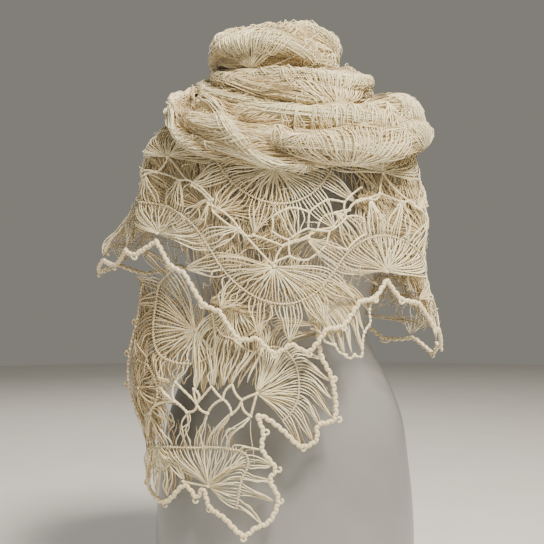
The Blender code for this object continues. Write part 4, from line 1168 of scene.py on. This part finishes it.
# ---------------------------------------------------------------- crocheted edge with picots
edgeLook = {
    "cord": 0.0027,
    "stitch": 0.0050,
    "away": 0.0030,
    "sag": 0.015,
    "arcsPerWave": 3.5,
    "picot": 0.0028,
    "end": [
        (16.0, 0.3950), (17.5, 0.3439), (23.0, 0.3100), (24.2, 0.2653), (16.2, 0.2560), (15.2, 0.2380),
        (8.0, 0.2309), (0.0, 0.2475), (-8.5, 0.2634), (-13.2, 0.2671), (-10.8, 0.2478), (-11.2, 0.2261),
        (-5.0, 0.2041), (-7.5, 0.1897), (-3.5, 0.1665), (-7.5, 0.1413), (-14.8, 0.1319), (-20.2, 0.1234),
        (-29.5, 0.1420), (-37.8, 0.1542), (-41.0, 0.1752), (-44.5, 0.1634), (-49.5, 0.1773), (-58.0, 0.1540),
        (-68.0, 0.1570), (-73.0, 0.1708), (-69.5, 0.1981), (-65.2, 0.2226), (-70.0, 0.2600), (-73.0, 0.2950),
        (-74.0, 0.3350), (-72.0, 0.3750), (-71.5, 0.4100), (-67.0, 0.4300)],
    "endPicots": [(23.0, 0.3100), (25.0, 0.2620), (8.0, 0.2290), (-10.3, 0.2478), (-4.0, 0.2041), (-2.8, 0.1665),
                  (-20.2, 0.1220), (-37.8, 0.1530), (-44.5, 0.1620), (-58.0, 0.1525), (-74.0, 0.1708),
                  (-74.0, 0.2950), (-75.0, 0.3350), (-73.0, 0.3750)],
}


def picotSet(surface, places, away):
    # a small loop standing out from the cord: three quarters of a circle
    turn = np.linspace(-0.75 * pi, 0.75 * pi, 8)[None, :, None]
    square = np.stack([-away[:, 1], away[:, 0]], axis=-1)
    size = edgeLook["picot"]
    centre = places + away * size * 1.0
    flat = centre[:, None] + size * (np.cos(turn) * away[:, None] + np.sin(turn) * square[:, None])
    return tubesOn(surface, flat, np.full(flat.shape[:2], 0.0014), 0.0015, 5, np.full(len(flat), 0.94))


def stitchSet(points, normals, radius, tone):
    # crochet cord: radius swells and shrinks with every stitch along its length; painted shade darkens the narrow gaps
    # between stitches and painted light brightens the swells
    length = np.concatenate([[0.0], np.cumsum(np.linalg.norm(np.diff(points, axis=0), axis=1))])
    swell = np.cos(2 * pi * length / edgeLook["stitch"])
    tangent = unit(np.gradient(points, axis=0))
    side = unit(np.cross(tangent, normals))
    path = points + side * (0.0012 * np.sin(pi * length / edgeLook["stitch"]))[:, None]
    fat = np.broadcast_to(radius, len(points)) * (1.0 + 0.11 * swell)
    shade = np.clip(np.broadcast_to(tone, len(points)) + 0.20 * swell - 0.06, 0.05, 1.0)
    return [path[None], normals[None], fat[None], 6, shade[None]]


def makeEdges():
    fine = np.linspace(-1.999, 3.999, 3001)
    arcs = (fine - 1.0) * edgeLook["arcsPerWave"]
    swing = np.abs(2.0 * (arcs - np.floor(arcs)) - 1.0)
    sag = edgeLook["sag"] * (1.0 - swing ** 1.25) * noise.uniform(0.7, 1.1, 23)[np.floor(arcs).astype(int) % 21]
    down = wrapEdge(fine)
    flat = np.stack([fine * laceLook["halfWave"], down], axis=-1)
    tangent = unit(np.gradient(flat, axis=0))
    outward = np.stack([-tangent[:, 1], tangent[:, 0]], axis=-1)
    path = flat + outward * (edgeLook["away"]) + np.array([0.0, 1.0]) * sag[:, None]
    middles = np.arange(np.ceil(arcs[0] - 0.5), np.floor(arcs[-1] - 0.5) + 1) + 0.5
    at = np.stack([np.interp(middles, arcs, path[:, k]) for k in range(2)], axis=-1)
    picots = picotSet(wrapSurface, at, np.tile([[0.0, 1.0]], (len(at), 1)))
    path = evenPath(path, 0.0012)
    points, normals = layOn(wrapSurface, path, np.full(len(path), 0.0006))
    angle = np.degrees(np.arctan2(points[:, 0], -points[:, 1]))
    front = np.abs(angle) <= wrapLook["split"]
    for name, node, chosen in (("edgeFront", "edge_front", front), ("edgeBack", "edge_back", ~front)):
        begin = int(np.flatnonzero(~chosen)[-1]) + 1 if chosen[0] else 0
        order = np.roll(np.arange(len(path)), -begin)
        run = order[chosen[order]]
        cord = stitchSet(points[run], normals[run], edgeLook["cord"], 0.80)
        keep = (lambda p: np.abs(middleAngle(p)) <= wrapLook["split"]) if name == "edgeFront" else (
            lambda p: np.abs(middleAngle(p)) > wrapLook["split"])
        parts = tubeParts([cord], lambda p: np.ones(len(p), dtype=bool)) + tubeParts([picots], keep)
        finishEdge(name, node, parts)
    path = smoothPath(endFlat(edgeLook["end"]), 900)
    points, normals = layOn(endSurface, path, np.full(len(path), 0.0010))
    # thin and dark up the left side, where it hangs in the wrap's shade
    left = smoothStep((-60.0 - np.degrees(path[:, 0] / endLook["round"])) / 8.0) * (path[:, 1] < 0.27)
    cord = stitchSet(points, normals, edgeLook["cord"] * (1.0 - 0.45 * left), 0.80 - 0.40 * left)
    centre = endFlat([(-28.0, 0.25)])[0]
    places = endFlat(edgeLook["endPicots"])
    picots = picotSet(endSurface, places, unit(places - centre))
    # painted shade: the picots up the left side are darker
    picots[4] = np.where(places[:, 0] < -0.155, 0.42, picots[4])
    finishEdge("edgeEnd", "edge_end", tubeParts([cord, picots], lambda p: np.ones(len(p), dtype=bool)))


def finishEdge(name, node, parts):
    piece = buildPiece(name, parts, cordWool)
    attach(piece, "root")
    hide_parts(node)


# ---------------------------------------------------------------- floor and light
def makeFloor():
    # pale table top, a disc of a few rings
    turn = np.linspace(0.0, 2 * pi, 97)[:-1]
    out = np.array([0.01, 0.5, 1.5, 4.0])
    ring = np.stack([np.outer(np.sin(turn), out), -np.outer(np.cos(turn), out), np.full((96, 4), -0.0002)], axis=-1)
    index = np.arange(96 * 4).reshape(96, 4)
    after = np.roll(index, -1, axis=0)
    quads = np.stack([index[:, :-1], index[:, 1:], after[:, 1:], after[:, :-1]], axis=-1).reshape(-1, 4)[:, ::-1]
    middle = index[:, 0][None, :]
    finish = plasticFinish("tableTop", {"light": (0.80, 0.79, 0.77, 1.0), "deep": (0.76, 0.75, 0.73, 1.0),
                                        "rough": 0.55})
    floor = buildPiece("floor", [(ring.reshape(-1, 3), [quads, middle], np.ones(96 * 4))], finish)
    world = bpy.data.worlds.new("studio")
    world.use_nodes = True
    tree = world.node_tree
    ground = tree.nodes["Background"]
    ground.inputs["Color"].default_value = (0.80, 0.77, 0.68, 1.0)
    rays = addNode(tree, "ShaderNodeLightPath", -600, 0)
    dim = addNode(tree, "ShaderNodeMath", -300, 0)
    dim.operation = "MULTIPLY_ADD"
    dim.inputs[1].default_value = 0.14
    dim.inputs[2].default_value = 0.14
    tree.links.new(rays.outputs["Is Camera Ray"], dim.inputs[0])
    tree.links.new(dim.outputs[0], ground.inputs["Strength"])
    bpy.context.scene.world = world


placeCamera()
makeFloor()
placeLight("keyLight", (0.8, -1.2, 2.5), (0.0, 0.0, 0.50), (0.7, 0.7), 178.0, (1.0, 0.91, 0.76))
placeLight("fillLight", (-1.9, -1.5, 1.1), (0.0, 0.0, 0.40), (1.8, 1.8), 9.0, (1.0, 0.97, 0.90))
placeLight("backLight", (-0.6, 1.9, 1.9), (0.0, 0.0, 0.45), (1.4, 1.4), 22.0, (1.0, 0.96, 0.88))
makeForm()
makeWrap()
makeRolls()
makeEnd()
makeEdges()
